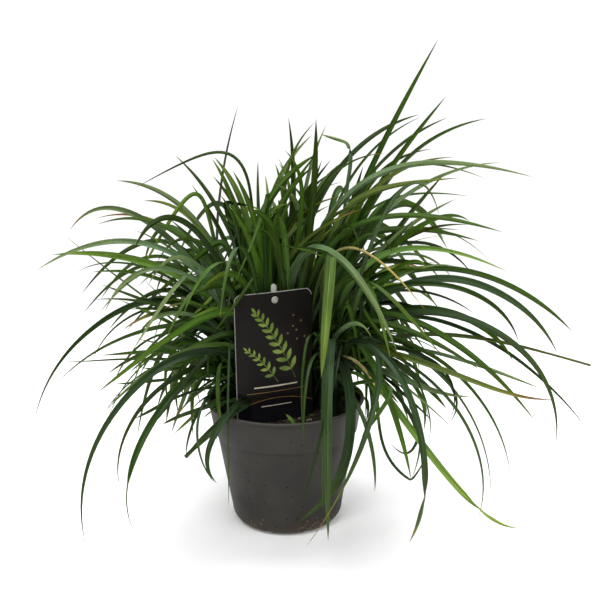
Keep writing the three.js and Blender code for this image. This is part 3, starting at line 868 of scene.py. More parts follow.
@dataclass
class SoilBed:
    """Potting mix that fills the pot to 15 mm below its rim, with crumbs on top."""

    pot: Pot
    top: float = 122.0
    gap: float = 0.3
    roughness: float = 1.7
    rings: int = 34
    sides: int = 120
    # The width of the surface's broad and fine lumps, and how much each counts.
    lumps: Pair = (21.0, 6.0)
    lump_shares: Pair = (1.1, 0.9)
    crumbs: int = 420
    crumb_size: Pair = (0.8, 2.6)
    seed: int = 4

    def wall_radius(self, height: float) -> float:
        """Gives the soil's radius within the collar.

        Args:
            height: The height.

        Returns:
            The radius there.
        """
        pot = self.pot
        span = pot.height - pot.rim_depth - pot.collar_foot_height
        climb = (height - pot.collar_foot_height) / span
        wall = pot.collar_foot + (pot.collar_top - pot.collar_foot) * climb
        return wall - pot.wall - self.gap

    def surface(self, x: float, y: float) -> float:
        """Gives the height of the soil's rough surface.

        Args:
            x: Across.
            y: Front to back.

        Returns:
            The height in millimetres.
        """
        wide, narrow = self.lumps
        broad_share, fine_share = self.lump_shares
        broad = noise.noise(Vector((x / wide, y / wide, 3.1)))
        fine = noise.turbulence(Vector((x / narrow, y / narrow, 8.4)), 3, False)
        return self.top + self.roughness * (broad_share * broad + fine_share * (fine - 0.5))

    def body(self, draft: Draft) -> None:
        """Adds the soil's body: a rough top, and sides and a floor that follow the pot.

        Args:
            draft: The draft that takes it.
        """
        pot = self.pot
        inset = pot.wall + self.gap
        rim = self.wall_radius(self.top) - self.gap
        angles = np.arange(self.sides) / self.sides * 2 * math.pi
        rows = []
        for ring in range(1, self.rings + 1):
            radius = rim * ring / self.rings
            flat = [(radius * math.cos(angle), radius * math.sin(angle)) for angle in angles]
            rows.append(np.array([(x, y, self.surface(x, y)) for x, y in flat]))
        sides = [
            (self.wall_radius(self.top) - 2 * self.gap, self.top - 4),
            (pot.collar_foot - inset, pot.collar_foot_height + inset),
            (pot.body_top - inset, pot.collar_foot_height - pot.collar_step - self.gap),
            *reversed(pot.corner(inset)),
        ]
        for radius, height in sides:
            level = np.full(self.sides, height)
            rows.append(np.stack([radius * np.cos(angles), radius * np.sin(angles), level], 1))
        count = len(rows) * self.sides
        middles = [[0, 0, self.surface(0, 0)], [0, 0, inset]]
        faces = [tuple(reversed(face)) for face in tube_faces(len(rows), self.sides)]
        last = (len(rows) - 1) * self.sides
        for step in range(self.sides):
            after = (step + 1) % self.sides
            faces.append((count, step, after))
            faces.append((count + 1, last + after, last + step))
        points = np.concatenate([*rows, middles])
        draft.add(points, faces, crumb=np.zeros(len(points)))

    def scatter(self, draft: Draft) -> None:
        """Adds loose crumbs, sunk into the surface.

        Args:
            draft: The draft that takes them.
        """
        random = np.random.default_rng(self.seed)
        ball = bmesh.new()
        bmesh.ops.create_icosphere(ball, subdivisions=1, radius=1.0)
        shape = np.array([vertex.co for vertex in ball.verts])
        faces = [tuple(vertex.index for vertex in face.verts) for face in ball.faces]
        ball.free()
        reach = self.wall_radius(self.top) - 4
        low, high = self.crumb_size
        for _ in range(self.crumbs):
            angle = random.uniform(0, 2 * math.pi)
            radius = reach * math.sqrt(random.uniform(0.05, 1))
            x, y = radius * math.cos(angle), radius * math.sin(angle)
            size = low + (high - low) * random.uniform() ** 2.2
            stretch = size * random.uniform(0.5, 1.1, 3)
            lumps = shape * (1 + random.uniform(-0.18, 0.18, (len(shape), 1))) * stretch
            turn = Matrix.Rotation(random.uniform(0, 2 * math.pi), 3, "Z")
            points = lumps @ np.array(turn) + [x, y, self.surface(x, y) + 0.25 * size]
            draft.add(points, faces, crumb=np.full(len(points), random.uniform()))

    def build(self, finish: Material) -> Object:
        """Makes the soil.

        Args:
            finish: The soil's material.

        Returns:
            The soil bed.
        """
        draft = Draft()
        self.body(draft)
        self.scatter(draft)
        return draft.build("soil_bed", [finish], "potting_soil", ["soil"], crease=70)


# ---- Label ----


class CardFinish(IntEnum):
    """The card's finishes, in the order of its materials."""

    FIELD = 0
    EDGE = 1
    LEAF = 2
    CREAM = 3
    GOLD = 4
    CHARCOAL = 5


@dataclass
class Label:
    """A bowed, printed card on a moulded stake, stuck into the soil at the front of the crown.

    The stud's head and the stake cover the hole in the card from both sides, so the card has none.
    """

    width: float = 85.0
    height: float = 156.0
    thickness: float = 0.9
    corner: float = 8.0
    bow: float = 3.5
    place: Pair = (-9.5, -34.0)
    turn: float = 22.0
    foot: float = 105.0
    stud_below: float = 8.0
    stake_width: float = 6.0
    stake_thickness: float = 1.6
    stake_above: float = 8.0
    stake_below: float = 23.0
    gap: float = 0.3
    stud_radius: float = 2.0
    head_radius: float = 3.6
    head_height: float = 1.4
    print_gap: float = 0.06
    # The width of the painted highlight along the card's top and left edge.
    highlight_width: float = 0.5
    # How far up the card the soil reaches, and how near a leaf may come.
    buried: float = 14.0
    clearance: float = 3.0
    columns: int = 48
    rows: int = 24
    # Each sprig's foot, tip and sag, its pairs of leaflets, and their length.
    sprigs: tuple[tuple[Pair, Pair, float, int, float], ...] = (
        ((22.0, 62.0), (-20.0, 134.0), 7.0, 9, 15.0),
        ((2.0, 60.0), (-30.0, 96.0), 4.0, 6, 10.5),
    )
    # A leaflet's angle to its stem at the foot of a sprig, how much it closes towards the tip, and
    # its width as a share of its length.
    leaflet_angles: Pair = (52.0, 14.0)
    leaflet_width: float = 0.36
    dots: int = 7
    dots_at: Pair = (24.0, 112.0)
    dots_apart: Pair = (5.1, 6.8)
    dot_size: float = 2.2
    # The band's height at its foot and at its ends, and how far its middle rises.
    band: Triple = (17.5, 33.0, 9.0)
    # The rules: half length, height, rise in the middle, width, ink and layer.
    rules: tuple[tuple[float, float, float, float, CardFinish, int], ...] = (
        (24.0, 56.0, 0.0, 1.5, CardFinish.CREAM, 1),
        (32.0, 50.0, 0.0, 0.7, CardFinish.GOLD, 1),
        (41.9, 34.0, 9.0, 0.7, CardFinish.GOLD, 2),
        (17.0, 35.0, 0.0, 1.0, CardFinish.CREAM, 2),
    )

    def placed(self, points: np.ndarray) -> np.ndarray:
        """Moves points from the card's own frame to the plant's.

        Args:
            points: Points with x along the card, y behind it and z up from its foot.

        Returns:
            The points in the plant's frame.
        """
        angle = math.radians(self.turn)
        x = self.place[0] + points[:, 0] * math.cos(angle) - points[:, 1] * math.sin(angle)
        y = self.place[1] + points[:, 0] * math.sin(angle) + points[:, 1] * math.cos(angle)
        return np.stack([x, y, points[:, 2] + self.foot], 1)

    def own(self, points: np.ndarray) -> np.ndarray:
        """Moves points from the plant's frame to the card's own.

        Args:
            points: The points in the plant's frame.

        Returns:
            The points with x along the card, y behind it and z up from its foot.
        """
        angle = math.radians(self.turn)
        x, y = points[:, 0] - self.place[0], points[:, 1] - self.place[1]
        along = x * math.cos(angle) + y * math.sin(angle)
        behind = -x * math.sin(angle) + y * math.cos(angle)
        return np.stack([along, behind, points[:, 2] - self.foot], 1)

    def bowed(self, x: np.ndarray) -> np.ndarray:
        """Says how far the card bends back at each place along it."""
        return self.bow * (x / (self.width / 2)) ** 2

    def top_at(self, x: np.ndarray) -> np.ndarray:
        """Gives the height of the card's top edge, with its rounded corners."""
        into = np.clip(np.abs(x) - (self.width / 2 - self.corner), 0, self.corner)
        return self.height - (self.corner - np.sqrt(self.corner**2 - into**2))

    def card(self, finishes: Sequence[Material]) -> Object:
        """Makes the card with its pale cut edge and its print.

        Args:
            finishes: Its materials, in the order of CardFinish.

        Returns:
            The card.
        """
        draft = Draft()
        half = self.width / 2
        share = np.sin(np.linspace(-1, 1, self.columns + 1) * math.pi / 2)
        x = half * share
        top = self.top_at(x)
        back = self.bowed(x)
        skin = self.thickness / 2
        rows = self.rows
        levels = np.linspace(0, 1, rows + 1)
        front = [np.stack([x, back - skin, top * level], 1) for level in levels]
        rear = [np.stack([x, back + skin, top * level], 1) for level in levels]
        points = np.concatenate([*front, *rear])
        wide = self.columns + 1
        behind = (rows + 1) * wide
        field_faces = []
        for row in range(rows):
            for column in range(self.columns):
                here = row * wide + column
                field_faces.append((here, here + 1, here + wide + 1, here + wide))
                other = behind + here
                field_faces.append((other, other + wide, other + wide + 1, other + 1))
        rim = (
            list(range(wide))
            + [row * wide + self.columns for row in range(1, rows + 1)]
            + [rows * wide + column for column in range(self.columns - 1, -1, -1)]
            + [row * wide for row in range(rows - 1, 0, -1)]
        )
        edge_faces = []
        for here, after in zip(rim, rim[1:] + rim[:1]):
            edge_faces.append((here, behind + here, behind + after, after))
        draft.add(self.placed(points), field_faces, CardFinish.FIELD)
        draft.faces.extend(edge_faces)
        draft.finish_of_face.extend([CardFinish.EDGE] * len(edge_faces))
        self.print_on(draft)
        return draft.build("label_card_printed", finishes, "card_plastic", ["label_card"], crease=40)

    def ink(
        self, draft: Draft, outline: Sequence[Pair], finish: CardFinish, layer: int = 1
    ) -> None:
        """Prints one flat shape as a strip of faces between two outlines that follow the bow.

        Args:
            draft: The draft that takes it.
            outline: Points of the shape in the card's x and z, as pairs of left and right sides.
            finish: Its ink.
            layer: 1 for ink on the card, 2 for ink on another ink.
        """
        flat = np.array(outline, float)
        shape = np.stack([flat[:, 0], self.bowed(flat[:, 0]) - self.thickness / 2, flat[:, 1]], 1)
        low, high = shape.copy(), shape.copy()
        high[:, 1] -= self.print_gap * layer
        low[:, 1] += self.print_gap / 2
        count = len(shape)
        faces = []
        for left in range(0, count - 2, 2):
            faces.append((left, left + 1, left + 3, left + 2))
            below = count + left
            faces.append((below, below + 2, below + 3, below + 1))
            faces.append((left, left + 2, below + 2, below))
            faces.append((left + 1, below + 1, below + 3, left + 3))
        faces.append((0, count, count + 1, 1))
        faces.append((count - 2, count - 1, 2 * count - 1, 2 * count - 2))
        draft.add(self.placed(np.concatenate([high, low])), faces, finish)

    def leaflet(self, x: float, z: float, angle: float, length: float, width: float) -> list[Pair]:
        """Draws a plain oval leaflet for the printed sprig.

        Args:
            x: Its foot, along the card.
            z: Its foot, up the card.
            angle: Its direction, in degrees from the card's x.
            length: Its length.
            width: Its greatest width.

        Returns:
            The outline as pairs of left and right points.
        """
        turn = math.radians(angle)
        pairs = []
        for step in range(9):
            share = step / 8
            half = width / 2 * math.sin(math.pi * share) ** 0.8 + 0.02
            for side in (1, -1):
                pairs.append(
                    (
                        x + length * share * math.cos(turn) - side * half * math.sin(turn),
                        z + length * share * math.sin(turn) + side * half * math.cos(turn),
                    )
                )
        return pairs

    def line(
        self, start: Pair, stop: Pair, sag: float, width: float, steps: int = 16
    ) -> list[Pair]:
        """Draws a curved line on the card.

        Args:
            start: Its first end.
            stop: Its last end.
            sag: How far its middle lies above the straight line.
            width: Its width.
            steps: How many stretches it has.

        Returns:
            The outline as pairs of left and right points.
        """
        pairs = []
        for step in range(steps + 1):
            share = step / steps
            x = start[0] + (stop[0] - start[0]) * share
            z = start[1] + (stop[1] - start[1]) * share + 4 * sag * share * (1 - share)
            pairs.append((x, z + width / 2))
            pairs.append((x, z - width / 2))
        return pairs

    def print_on(self, draft: Draft) -> None:
        """Prints the generic design: two leafy sprigs, dots, a band and plain rules.

        Args:
            draft: The card's draft.
        """
        leaf = CardFinish.LEAF
        open_by, closes_by = self.leaflet_angles
        for start, stop, sag, pairs, size in self.sprigs:
            self.ink(draft, self.line(start, stop, sag, 0.9), leaf)
            heading = math.degrees(math.atan2(stop[1] - start[1], stop[0] - start[0]))
            for index in range(pairs):
                share = (index + 1) / (pairs + 0.4)
                x = start[0] + (stop[0] - start[0]) * share
                z = start[1] + (stop[1] - start[1]) * share + 4 * sag * share * (1 - share)
                length = size * (1 - 0.5 * share)
                width = self.leaflet_width * length
                for side in (1, -1):
                    angle = heading + side * (open_by - closes_by * share)
                    self.ink(draft, self.leaflet(x, z, angle, length, width), leaf)
            self.ink(draft, self.leaflet(*stop, heading, size * 0.6, size * 0.2), leaf)
        for index in range(self.dots):
            angle = index * GOLDEN_ANGLE
            x = self.dots_at[0] + self.dots_apart[0] * math.sqrt(index) * math.cos(angle)
            z = self.dots_at[1] + self.dots_apart[1] * math.sqrt(index) * math.sin(angle)
            self.ink(draft, self.leaflet(x, z, 90, self.dot_size, self.dot_size), CardFinish.GOLD)
        half = self.width / 2 - 0.6
        foot, ends, rise = self.band
        edge = self.line((-half, ends), (half, ends), rise, 0.0, 24)
        band = [pair for x, top in edge[::2] for pair in ((x, top), (x, foot))]
        self.ink(draft, band, CardFinish.CHARCOAL)
        for reach, height, rise, width, ink, layer in self.rules:
            self.ink(draft, self.line((-reach, height), (reach, height), rise, width), ink, layer)
        self.painted_edge_highlight(draft)

    def painted_edge_highlight(self, draft: Draft) -> None:
        """Adds a strip in the cut edge's pale colour along the top and the left side of the card's
        front: the pale cut edge, widened by a painted highlight where light catches it.

        Args:
            draft: The card's draft.
        """
        half = self.width / 2 - 0.05
        across = half * np.sin(np.linspace(-1, 1, 61) * math.pi / 2)
        top = self.top_at(across) - 0.05
        inner = across * (1 - self.highlight_width / half)
        over = [
            pair
            for x, z, near in zip(across, top, inner)
            for pair in ((x, z), (near, z - self.highlight_width))
        ]
        self.ink(draft, over, CardFinish.EDGE)
        foot = float(top[0])
        levels = np.linspace(1.0, foot, 9)
        beside = [(x, z) for z in levels for x in (self.highlight_width - half, -half)]
        self.ink(draft, beside, CardFinish.EDGE)

    def stake(self, finish: Material) -> Object:
        """Makes the stake: a rounded strip behind the card, with the domed stud that holds it.

        Args:
            finish: The stake's material.

        Returns:
            The stake.
        """
        draft = Draft()
        half = self.stake_width / 2
        thick = self.stake_thickness
        back = self.thickness / 2 + self.gap
        around = [
            *arc((half - thick / 2, back + thick / 2), thick / 2, -90, 90, 6),
            *arc((-half + thick / 2, back + thick / 2), thick / 2, 90, 270, 6),
        ]
        top = self.height + self.stake_above
        levels = [(-self.stake_below, 0.25), (-self.stake_below + 8, 1.0), (top - half, 1.0)]
        levels += [
            (top - half + half * math.sin(angle), math.cos(angle) * 0.98 + 0.02)
            for angle in np.linspace(0.2, math.pi / 2, 7)
        ]
        rows = [
            np.array([(x * share, y, level) for x, y in around]) for level, share in levels
        ]
        strip = np.concatenate(rows)
        draft.add(self.placed(strip), tube_faces(len(rows), len(around), closed=True))
        centre = self.height - self.stud_below
        front = -self.thickness / 2 - self.gap
        # The stud's shank, then its domed head with the dimple that the mould leaves: radius, depth.
        section = [(self.stud_radius, back + 0.4), (self.stud_radius, front)]
        section += [
            (self.head_radius * share, front - depth)
            for share, depth in (
                (0.8, 0.0),
                (1.0, 0.35),
                (0.97, 0.8),
                (0.8, 1.2),
                (0.5, self.head_height),
                (0.42, self.head_height - 0.05),
                (0.3, self.head_height - 0.45),
            )
        ]
        steps = 32
        turns = np.arange(steps) / steps * 2 * math.pi
        turned = [
            np.stack([r * np.cos(turns), np.full(steps, y), centre + r * np.sin(turns)], 1)
            for r, y in section
        ]
        stud = np.concatenate(turned)
        draft.add(self.placed(stud), tube_faces(len(turned), steps, closed=True))
        name = "label_stake_moulded"
        return draft.build(name, [finish], "stake_plastic", ["label_stake"], crease=40)

    def hides(self, points: np.ndarray, eye: np.ndarray) -> np.ndarray:
        """Says which points stand between a viewer in front and the card.

        Args:
            points: Points in the plant's frame.
            eye: The viewer's place.

        Returns:
            True for each point that would hide the card.
        """
        own, viewer = self.own(points), self.own(eye[None])[0]
        reach = viewer[1] / np.minimum(viewer[1] - own[:, 1], -1e-6)
        seen = viewer + (own - viewer) * reach[:, None]
        inside = (np.abs(seen[:, 0]) < self.width / 2 + self.clearance) & (seen[:, 2] > self.buried)
        return inside & (seen[:, 2] < self.height + 4) & (own[:, 1] < self.bow + 1)

    def touches(self, points: np.ndarray) -> np.ndarray:
        """Says which points lie in the card or its stake.

        Args:
            points: Points in the plant's frame.

        Returns:
            True for each point too near the card or the stake.
        """
        own = self.own(points)
        near = np.abs(own[:, 1] - self.bowed(own[:, 0])) < self.clearance + 0.5
        beside = np.abs(own[:, 0]) < self.width / 2 + self.clearance
        return near & beside & (own[:, 2] < self.height + self.stake_above + 2)


# ---- Leaves ----


class Tone(Enum):
    """The greens and browns of the leaves."""

    DARK = "#1b3004"
    MIDDLE = "#294408"
    BRIGHT = "#466418"
    LIGHT = "#5f7d30"
    GLAUCOUS = "#46593b"
    OLIVE = "#3b480f"
    GREY = "#4a5049"
    STRAW = "#94824e"
    DUSKY = "#26381e"
    SHEATH = "#2b3614"


@dataclass(frozen=True)
class LeafLook:
    """How one leaf looks: its tone, where its tip starts to dry, whether it ends blunt, and the tone
    that its outer part has turned to."""

    tone: Tone
    dries_from: float = 1.0
    blunt: bool = False
    turned: Tone | None = None


# The leaves that show by themselves, by the place of their tips in millimetres.
LOOKS: dict[Tone, tuple[Tip, ...]] = {
    Tone.DARK: (
        (-160, 40, 358), (-215, 0, 278), (-140, -90, 316), (-190, -50, 260), (-250, 30, 172),
        (-145, -150, 60), (-160, -120, 84), (-185, -60, 140), (-210, 0, 171), (33, 0, 384),
        (150, 60, 432), (155, 80, 429), (182, 70, 428), (221, 50, 363), (167, -60, 126),
        (199, -60, 181), (325, -20, 98), (205, 10, 260), (203, 0, 225), (-230, -60, 176),
        (54, -60, 296), (-115, 60, 393), (-95, 30, 364), (-32, -4, 345), (-49, -95, 279),
        (16, -159, 141), (16, -96, 128), (35, -20, 433), (8, 20, 433), (-120, -130, 162), (108, 0, 396),
        (158, 20, 398), (-59, -42, 384),
    ),
    Tone.MIDDLE: (
        (-185, -30, 332), (-230, 20, 314), (-195, -20, 282), (-160, 40, 315), (-195, -20, 193),
        (38, -10, 398), (173, 30, 452), (166, -10, 376), (239, -40, 51), (252, -80, 131),
        (230, -80, 216), (122, -110, 86), (-185, -30, 271), (71, -130, 141), (165, 40, 510),
        (206, 60, 343), (-265, -30, 119), (220, 50, 427), (182, -60, 334), (230, 60, 271),
        (303, -20, 208), (-175, -130, 190),
    ),
    Tone.BRIGHT: (
        (-230, -40, 304), (-75, -120, 285), (147, -120, 217), (-170, -120, 168), (226, -40, 279),
    ),
    Tone.LIGHT: (
        (34, -118, 196), (209, -190, 75),
    ),
    Tone.GLAUCOUS: (
        (-25, 50, 387), (35, 70, 412), (-180, 60, 366), (233, 30, 382), (176, -20, 351), (84, -90, 227),
        (186, 30, 254), (-33, 18, 325), (42, 30, 414), (-240, -60, 293), (-215, -20, 325),
        (-165, -120, 264), (153, -60, 337), (213, -60, 35), (167, -90, 131), (260, 0, 369),
        (107, -110, 217),
    ),
    Tone.OLIVE: (
        (-195, 10, 332), (-150, 50, 345), (178, 0, 391), (175, -40, 374), (184, -50, 329),
        (253, -130, 175), (320, -30, 175),
    ),
    Tone.DUSKY: (
        (38, -150, 44), (15, -160, 42), (86, -110, 74), (-70, -110, 87), (-95, -130, 124),
        (7, -150, 63), (-59, -89, 49), (35, -115, 54), (-150, -80, 145), (-120, -100, 146),
        (123, -100, 82), (115, -150, 41), (279, -50, 193), (269, -90, 109), (-190, -150, 41),
        (192, -90, 28),
    ),
    Tone.GREY: (
        (-45, 70, 445),
    ),
}
# The same leaves' dried tips: from which share of the leaf's length each one dries.
DRY_TIPS: dict[Tip, float] = {
    (-195, 10, 332): 0.7,
    (253, -130, 175): 0.74,
    (115, -150, 41): 0.94,
    (108, 0, 396): 0.93,
    (-215, -20, 325): 0.9,
    (15, -160, 42): 0.84,
}
# The leaf that is creased over. The other leaves whose solids fold arch over softly, within this
# share of their length on each side of the fold, and a thin leaf that turns back does so sharply.
CREASED = ((34, -118, 196),)
SOFT_BEND = 0.13
SHARP_BEND = 0.012
# The leaf that ends bluntly.
BLUNT_TIPS = ((320, -30, 175),)
# Leaves whose thin end has broken off: the share of the solid's leaf that is left.
BROKEN_AT: dict[Tip, float] = {
    (-102, 9, 425): 0.86,
    (-36, 118, 425): 0.72,
    (-26, 46, 421): 0.86,
    (-86, -21, 414): 0.91,
    (-30, 46, 419): 0.86,
    (-22, 4, 413): 0.89,
    (-26, 87, 395): 0.86,
    (-99, -5, 61): 0.9,
    (-140, 31, 56): 0.88,
}
# Leaves that end in a dry thread, a fifth as wide: from which share of the leaf's length.
THREAD_WIDTH = 0.2
THREADED: dict[Tip, float] = {
    (-145, -150, 60): 0.84,
    (15, -160, 42): 0.9,
}
# Leaves that turn over near their tips: the share of the leaf's length where they do, and the
# power by which they narrow.
TWISTED: dict[Tip, Pair] = {
    (115, -150, 41): (0.87, 7.0),
    (209, -190, 75): (0.85, 2.8),
}
# Young leaves, narrower than their solids.
SLIM: dict[Tip, float] = {
    (-49, -95, 279): 0.55,
    (16, -159, 141): 0.5,
    (16, -96, 128): 0.5,
    (136, -90, 253): 0.7,
    (108, 0, 396): 0.6,
    (165, 40, 510): 0.72,
    (253, -130, 175): 0.95,
    (-59, -89, 49): 0.45,
    (35, -115, 54): 0.5,
    (7, -150, 63): 0.35,
    (115, -150, 41): 0.75,
    (209, -190, 75): 0.85,
    (260, 0, 369): 0.8,
    (-154, -15, 269): 0.6,
    (-70, -110, 87): 0.45,
    (-95, -130, 124): 0.4,
}


@dataclass(frozen=True)
class PlacedLeaf:
    """A finer leaf with a place of its own: the points that it passes from its root to its tip, and
    those of its last part where it curls or creases back."""

    NARROWING: ClassVar[float] = 3.4
    ROLL: ClassVar[float] = 14.0
    WAVINESS: ClassVar[float] = 0.4
    CURLED_STEPS: ClassVar[int] = 70

    passes: tuple[Triple, ...]
    width: float
    tone: Tone
    dries_from: float = 1.0
    blunt: bool = False
    turns_back: tuple[Triple, ...] = ()


# First the leaves that close the crown between its upright middle and its right side, then three
# that hang over the rim, a young shoot in front of the label, and thin leaves that curl at the right.
PLACED_LEAVES = (
    PlacedLeaf(((-45, -5, 128), (-25, -15, 296), (38, -15, 401)), 6.0, Tone.MIDDLE),
    PlacedLeaf(((-36, 5, 128), (-8, 0, 298), (51, 5, 390)), 7.0, Tone.DARK),
    PlacedLeaf(((-8, 12, 128), (22, 15, 321), (58, 20, 383)), 7.5, Tone.DARK),
    PlacedLeaf(((18, 10, 128), (64, 10, 300), (102, 10, 388)), 8.0, Tone.MIDDLE),
    PlacedLeaf(((30, -5, 128), (82, -5, 308), (124, -5, 363)), 9.5, Tone.DARK),
    PlacedLeaf(((4, -4, 128), (21, -18, 309), (83, -32, 345)), 4.0, Tone.OLIVE, 0.84),
    PlacedLeaf(((38, -20, 128), (50, -50, 300), (-5, -70, 314)), 3.6, Tone.DARK),
    PlacedLeaf(((-5, 20, 128), (17, 25, 309), (43, 30, 388)), 7.0, Tone.DARK),
    PlacedLeaf(((22, 20, 128), (61, 20, 298), (86, 25, 382)), 8.0, Tone.DARK),
    PlacedLeaf(((-20, -5, 128), (-11, -10, 287), (-4, -14, 307)), 4.0, Tone.OLIVE, 0.8),
    PlacedLeaf(((36, -22, 128), (41, -45, 254), (47, -45, 315)), 7.5, Tone.DARK),
    PlacedLeaf(((39, -22, 128), (39, -50, 214), (51, -50, 286)), 6.5, Tone.MIDDLE),
    PlacedLeaf(
        ((38, -20, 128), (60, -62, 188), (63, -97, 135), (44, -106, 76), (9, -110, 43)),
        10.0,
        Tone.DUSKY,
    ),
    PlacedLeaf(
        ((-40, -22, 128), (-46, -62, 148), (-73, -88, 134), (-99, -104, 113)),
        8.0,
        Tone.DUSKY,
        blunt=True,
    ),
    PlacedLeaf(
        ((-42, -20, 128), (-49, -64, 152), (-72, -92, 128), (-78, -98, 99), (-69, -100, 83)),
        6.0,
        Tone.DUSKY,
    ),
    PlacedLeaf(((12, -57, 119), (7, -58, 130), (0, -59, 138.5)), 3.6, Tone.LIGHT),
    PlacedLeaf(
        (
            (38, -22, 128), (68, -52, 186), (88, -62, 162),
            (96, -66, 120), (108, -66, 86), (129, -62, 64),
        ),
        3.2,
        Tone.DARK,
        turns_back=((129, -62, 64), (139, -60, 78), (147, -58, 97)),
    ),
    PlacedLeaf(
        ((38, -12, 128), (97, -28, 206), (144, -50, 148), (147, -57, 104)),
        2.4,
        Tone.DUSKY,
    ),
    PlacedLeaf(
        ((38, -18, 128), (72, -40, 186), (109, -54, 161), (135, -60, 108)),
        3.9,
        Tone.DARK,
        turns_back=((135, -60, 108), (126, -62, 95), (105, -64, 109)),
    ),
    PlacedLeaf(
        ((40, -2, 128), (113, -12, 204), (153, -20, 179), (181, -28, 133), (173, -30, 114)),
        4.8,
        Tone.DARK,
    ),
)


def bernstein(shares: np.ndarray, degree: int) -> np.ndarray:
    """Gives the weights of a Bezier curve's control points.

    Args:
        shares: Places along the curve, from 0 to 1.
        degree: The curve's degree.

    Returns:
        One row of weights for each place.
    """
    columns = [
        math.comb(degree, index) * shares**index * (1 - shares) ** (degree - index)
        for index in range(degree + 1)
    ]
    return np.stack(columns, 1)


def bezier_through(points: np.ndarray) -> np.ndarray:
    """Gives the control points of the Bezier curve that passes through all the points."""
    reach = np.cumsum([0.0, *np.linalg.norm(np.diff(points, axis=0), axis=1)])
    return np.linalg.solve(bernstein(reach / reach[-1], len(points) - 1), points)


@dataclass(frozen=True)
class LeafLine:
    """A leaf's middle line: one Bezier span, or two that meet at a fold."""

    spans: tuple[np.ndarray, ...]
    folds_at: float = 1.0
    bend: float = 0.0

    def at(self, shares: np.ndarray) -> np.ndarray:
        """Gives the leaf's points, with its fold rounded off.

        Args:
            shares: Places along the leaf, from 0 to 1.

        Returns:
            The point at each place.
        """
        points = self.sharp(shares)
        if self.bend and len(self.spans) == 2:
            ends = self.sharp(np.array([self.folds_at - self.bend, self.folds_at + self.bend]))
            over = (shares - self.folds_at + self.bend) / (2 * self.bend)
            arch = bernstein(over, 2) @ np.stack([ends[0], self.spans[0][-1], ends[1]])
            points = np.where((np.abs(over - 0.5) < 0.5)[:, None], arch, points)
        return points

    def sharp(self, shares: np.ndarray) -> np.ndarray:
        """Gives the leaf's points, with its fold left sharp.

        Args:
            shares: Places along the leaf, from 0 to 1.

        Returns:
            The point at each place.
        """
        first = self.spans[0]
        points = bernstein(shares / self.folds_at, len(first) - 1) @ first
        if len(self.spans) == 2:
            over = (shares - self.folds_at) / (1 - self.folds_at)
            beyond = bernstein(over, len(self.spans[1]) - 1) @ self.spans[1]
            points = np.where((shares < self.folds_at)[:, None], points, beyond)
        return points

    def ahead(self, shares: np.ndarray) -> np.ndarray:
        """Gives the line's direction at the given shares of its length."""
        step = 1e-3
        return unit(self.at(shares + step) - self.at(shares - step))


